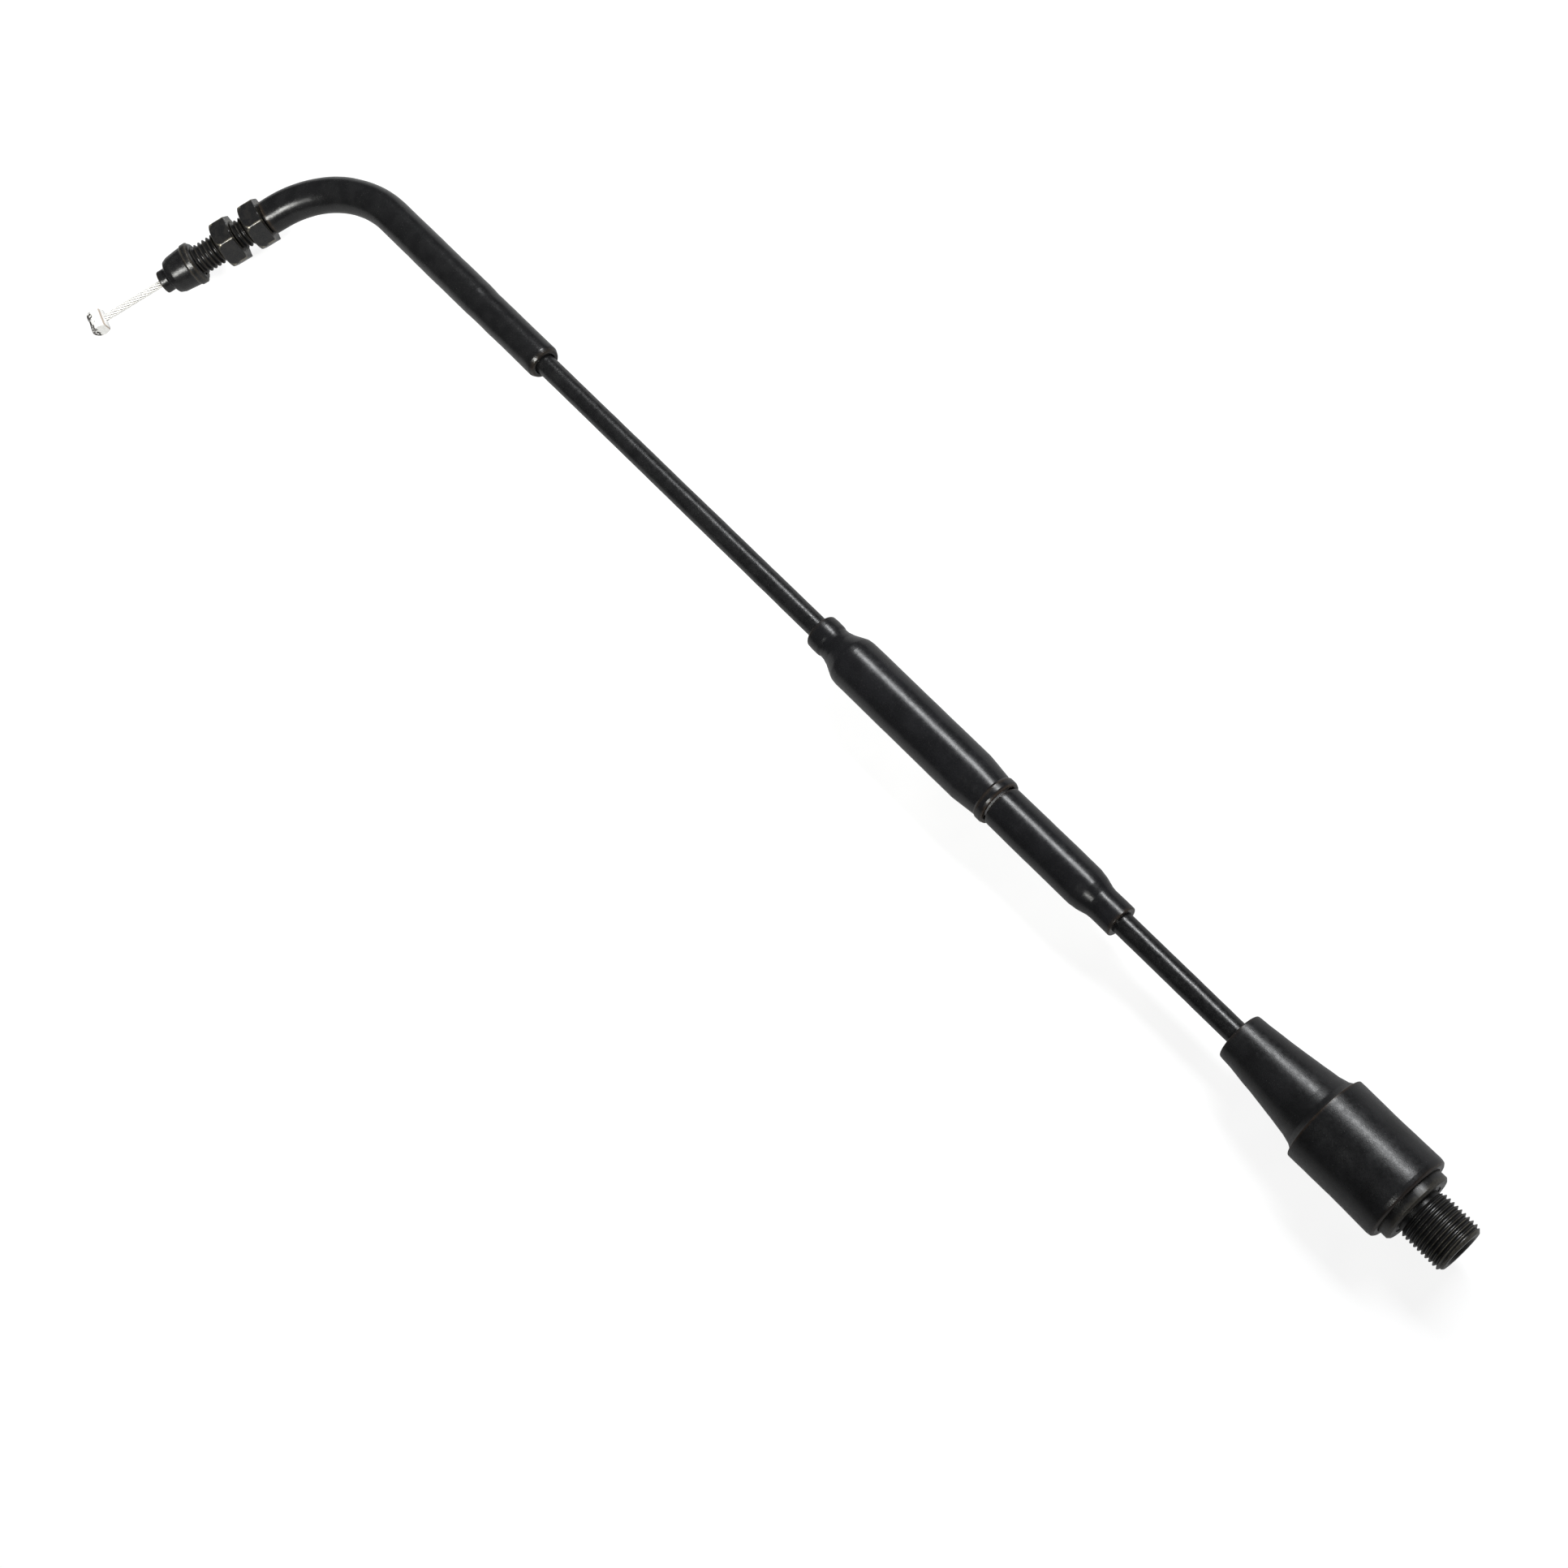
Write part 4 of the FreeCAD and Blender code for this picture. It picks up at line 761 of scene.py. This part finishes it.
# --------------------------------------------------------------- housing fitting
M12_START_X, M12_END_X, M12_PITCH = 0.8, 11.3, 1.0
M12_START, M12_END = at_x(M12_START_X), at_x(M12_END_X)
FITTING = [
    (M12_END_X, 5.1, 0), (M12_END_X, 4.0, 0.1), (10.8, 3.5, 0.1), (-19.2, 3.5, 0.05),
    (-19.2, 4.6, 0.1), (-21.65, 4.6, 0.03), (-21.65, 5.15, 0.03), (-22.65, 5.15, 0.03),
    (-22.65, 4.6, 0.03), (-26.0, 4.6, 0.1), (-26.0, 6.25, 0.12), (-25.5, 6.75, 0.2),
    (-4.5, 6.75, 0.2), (-4.5, 8.35, 0.1), (-4.35, 8.5, 0.15), (-0.5, 8.5, 0.14),
    (0.0, 8.0, 0.14), (0.0, 6.25, 0.04), (-0.25, 6.25, 0.04), (-0.25, 5.25, 0.06),
    (M12_START_X, 5.25, 0)]


def m12_radius(along, phase):
    x = along - at_x(0.0)
    return min(6.0 - THREAD_DEPTH * M12_PITCH * thread_form(phase),
               5.25 + max(0.0, x - 0.8) * 1.25, 6.0 - max(0.0, x - 10.4))


# Painted crest glints grow towards the thread's end, and a painted lit line runs round the end's
# edge.
def m12_wear_and_glint(along, phase):
    if along < at_x(10.6):
        return crest_wear_and_glint(phase, 0.03 + 0.14 * ramp(along, M12_START, M12_END))
    return 0.08


# Pale lines on the collar's edges and the thread's end edge: partly wear and partly painted glints.
def fitting_wear_and_glint(along, angle, radius):
    x = along - at_x(0.0)
    line = 0.07 * peak(x, -0.5, 0.12) * (radius > 8.3) + 0.06 * peak(x, 0, 0.1) * (radius > 7.8)
    line += 0.07 * peak(x, -4.5, 0.2) * (radius > 8.3)
    line += 0.14 * peak(x, 11.3, 0.12) * (radius > 4.8)
    return min(1.0, line)


skin = Skin(88)
skin.thread(M12_START, M12_END, M12_PITCH, m12_radius, m12_wear_and_glint)
# The doubled first ring is welded to the end of the thread.
skin.band([(M12_END, 5.1)] + soften(on_run(FITTING), 1.0, closed=False), wear_and_painted_light=fitting_wear_and_glint,
          closed=False)
skin.done("housing_fitting", MAT["fitting"], sharp=30)

# --------------------------------------------------------------- end nipple
# A turned slug with a cup at its +X end.
skin = Skin(64)
skin.band(soften(on_run([
    (0.0, 0.97, 0.05), (0.0, 2.5, 0.1), (0.4, 2.9, 0.15), (5.6, 2.9, 0.15), (6.0, 2.5, 0.12),
    (6.0, 1.9, 0.1), (4.6, 0.97, 0.2)]), 0.6))
skin.done("end_nipple", MAT["zinc"])

# --------------------------------------------------------------- inner wire
# Eight right-hand strands round a core; the lay runs on through the three lengths.
LAY, STRANDS, STRAND_RADIUS, LAY_RADIUS = 17.0, 8, 0.263, 0.687
CORE_RADIUS = LAY_RADIUS - STRAND_RADIUS + 0.05


def rope(node, start, end, step, sides):
    skin = Skin(sides)
    count = max(2, int((end - start) / step))
    for strand in range(STRANDS + 1):
        core = strand == STRANDS
        hub, size = (0.0, CORE_RADIUS) if core else (LAY_RADIUS, STRAND_RADIUS)
        rows = []
        for i in range(count + 1):
            along = start + (end - start) * i / count
            lay = 2 * pi * (along / LAY + strand / STRANDS)
            row = []
            for k in range(sides):
                angle = lay + 2 * pi * k / sides
                # Painted shade darkens the grooves between strands.
                inward = 1.0 if core else 0.5 - 0.5 * cos(angle - lay)
                point = place(along, hub * cos(lay) + size * cos(angle),
                              hub * sin(lay) + size * sin(angle))
                row.append(skin.vert(point, ramp(inward, 0.22, 0.6)))
            rows.append(row)
        for row, other in zip(rows, rows[1:]):
            skin.join(row, other)
        skin.faces.append(tuple(reversed(rows[0])))
        skin.faces.append(tuple(rows[-1]))
    skin.done(node, MAT["strand"], sharp=60)


rope("inner_wire_drum_side", -79.1, -31.9, step=0.5, sides=12)
rope("inner_wire_bend", -20.75, ARC - REACH - 0.65, step=0.8, sides=8)
rope("inner_wire_main", at_x(-343.2), at_x(4.4), step=1.1, sides=8)

# --------------------------------------------------------------- CAD pieces that stay
KEPT = {
    "brass": ["tube_mouth_bush"],
    "liner": ["bend_liner", "long_casing_liner", "short_casing_liner", "wire_guide_bush"],
    "plated": ["tube_casing_ferrule", "adjuster_inlet_ferrule", "adjuster_screw",
               "adjuster_lock_nut", "adjuster_outlet_ferrule", "swivel_ferrule"],
    "spring": ["long_casing_conduit", "short_casing_conduit", "retaining_ring"],
    "alloy": ["adjuster_barrel"],
}
EDGE_WIDTHS = {"drum_nipple": 0.16, "adjuster_barrel": 0.06, "adjuster_lock_nut": 0.12}

for slot in frame["nodes"]["drum_nipple"].material_slots:
    slot.material = drum_material()
for key, nodes in KEPT.items():
    for node in nodes:
        for slot in frame["nodes"][node].material_slots:
            slot.material = MAT[key]
for node, width in EDGE_WIDTHS.items():
    bevel = frame["nodes"][node].modifiers.new("soft_edges", "BEVEL")
    bevel.width = width * MM
    bevel.segments = 3
    bevel.limit_method = "ANGLE"
    bevel.angle_limit = radians(28)
    bevel.harden_normals = True

# --------------------------------------------------------------- floor
# From here on, lengths are in metres.
FLOOR_X, FLOOR_HALF, FLOOR_GAP = -0.19, 4, 0.00015


def floor_material():
    """Pale and glowing: bright to the camera, dimmer in what it lights."""
    bounce = 0.26
    g = Graph("pale_floor")
    speckle = g.noise(size=40.0)
    tone = g.mix(g.span(speckle, low=0.3, high=0.7), (0.86, 0.86, 0.86), (0.9, 0.9, 0.9))
    matte = g.add("ShaderNodeBsdfDiffuse")
    g.link(g.mix(1.0, tone, (bounce, bounce, bounce)), matte.inputs["Color"])
    glow = g.add("ShaderNodeEmission")
    g.link(tone, glow.inputs["Color"])
    rays = g.add("ShaderNodeLightPath")
    seen = 0.97
    g.link(g.blend(rays.outputs["Is Camera Ray"], bounce, seen), glow.inputs["Strength"])
    both = g.add("ShaderNodeAddShader")
    g.link(matte.outputs[0], both.inputs[0])
    g.link(glow.outputs[0], both.inputs[1])
    g.link(both.outputs[0], g.out.inputs["Surface"])
    return g.mat


floor_mesh = bpy.data.meshes.new("floor")
bm = bmesh.new()
for x, y in ((-1, -1), (1, -1), (1, 1), (-1, 1)):
    bm.verts.new((FLOOR_X + FLOOR_HALF * x, FLOOR_HALF * y, cad_box[0][2] - FLOOR_GAP))
bm.faces.new(bm.verts)
bm.to_mesh(floor_mesh)
bm.free()
floor = bpy.data.objects.new("floor", floor_mesh)
bpy.context.scene.collection.objects.link(floor)
floor_mesh.materials.append(floor_material())


# --------------------------------------------------------------- lights
def pose(x_axis, y_axis, z_axis, origin):
    return Matrix((*zip(x_axis, y_axis, z_axis, origin), (0, 0, 0, 1)))


def lamp(name, target, direction, distance, size, along, radiance, tint, spread=180.0):
    """A softbox off target in the given direction, its long side near `along`."""
    data = bpy.data.lights.new(name, "AREA")
    data.spread = radians(spread)
    data.shape = "RECTANGLE"
    data.size, data.size_y = size
    data.energy = radiance * pi * size[0] * size[1]
    data.color = tint
    obj = bpy.data.objects.new(name, data)
    back = Vector(direction).normalized()
    side = (Vector(along) - back * Vector(along).dot(back)).normalized()
    obj.matrix_world = pose(side, back.cross(side), back, Vector(target) + back * distance)
    bpy.context.scene.collection.objects.link(obj)


lamp("softbox_run", target=(-0.19, 0, 0), direction=(-0.17, 0.649, 0.746), distance=1.1,
     size=(0.74, 0.24), along=(1, 0, 0), radiance=23.0, tint=(0.97, 0.985, 1.0))
lamp("softbox_arm", target=(-0.37, -0.02, 0), direction=(0.46, -0.45, 0.76), distance=1.1,
     size=(0.44, 0.26), along=(0.69, 0.72, 0), radiance=1.7, tint=(1.0, 1.0, 0.965), spread=34.0)

# The world is pale to the camera and a faint cool fill to everything else.
world = bpy.data.worlds.new("studio")
bpy.context.scene.world = world
world.use_nodes = True
nodes, links = world.node_tree.nodes, world.node_tree.links
nodes.clear()
world_out = nodes.new("ShaderNodeOutputWorld")
seen, fill = nodes.new("ShaderNodeBackground"), nodes.new("ShaderNodeBackground")
seen.inputs["Color"].default_value = (0.93, 0.93, 0.93, 1)
fill.inputs["Color"].default_value = (0.9, 0.95, 1.0, 1)
fill.inputs["Strength"].default_value = 0.04
ray, pick = nodes.new("ShaderNodeLightPath"), nodes.new("ShaderNodeMixShader")
links.new(ray.outputs["Is Camera Ray"], pick.inputs[0])
links.new(fill.outputs[0], pick.inputs[1])
links.new(seen.outputs[0], pick.inputs[2])
links.new(pick.outputs[0], world_out.inputs["Surface"])

# --------------------------------------------------------------- camera
CAMERA_PLACE = (0.05715, -0.02201, 0.50037)
CAMERA_LOOK = (-0.40120679, -0.01558244, -0.91585496)
CAMERA_UP = (-0.65320137, 0.70581613, 0.27413783)

camera_data = bpy.data.cameras.new("camera")
camera_data.sensor_width = 36.0
camera_data.lens = 55.73
camera_data.clip_start = 0.01
camera = bpy.data.objects.new("camera", camera_data)
look, up = Vector(CAMERA_LOOK).normalized(), Vector(CAMERA_UP)
up = (up - look * up.dot(look)).normalized()
camera.matrix_world = pose(look.cross(up), up, -look, CAMERA_PLACE)
bpy.context.scene.collection.objects.link(camera)
bpy.context.scene.camera = camera
bpy.context.scene.view_settings.view_transform = "Standard"
bpy.context.scene.view_settings.look = "None"
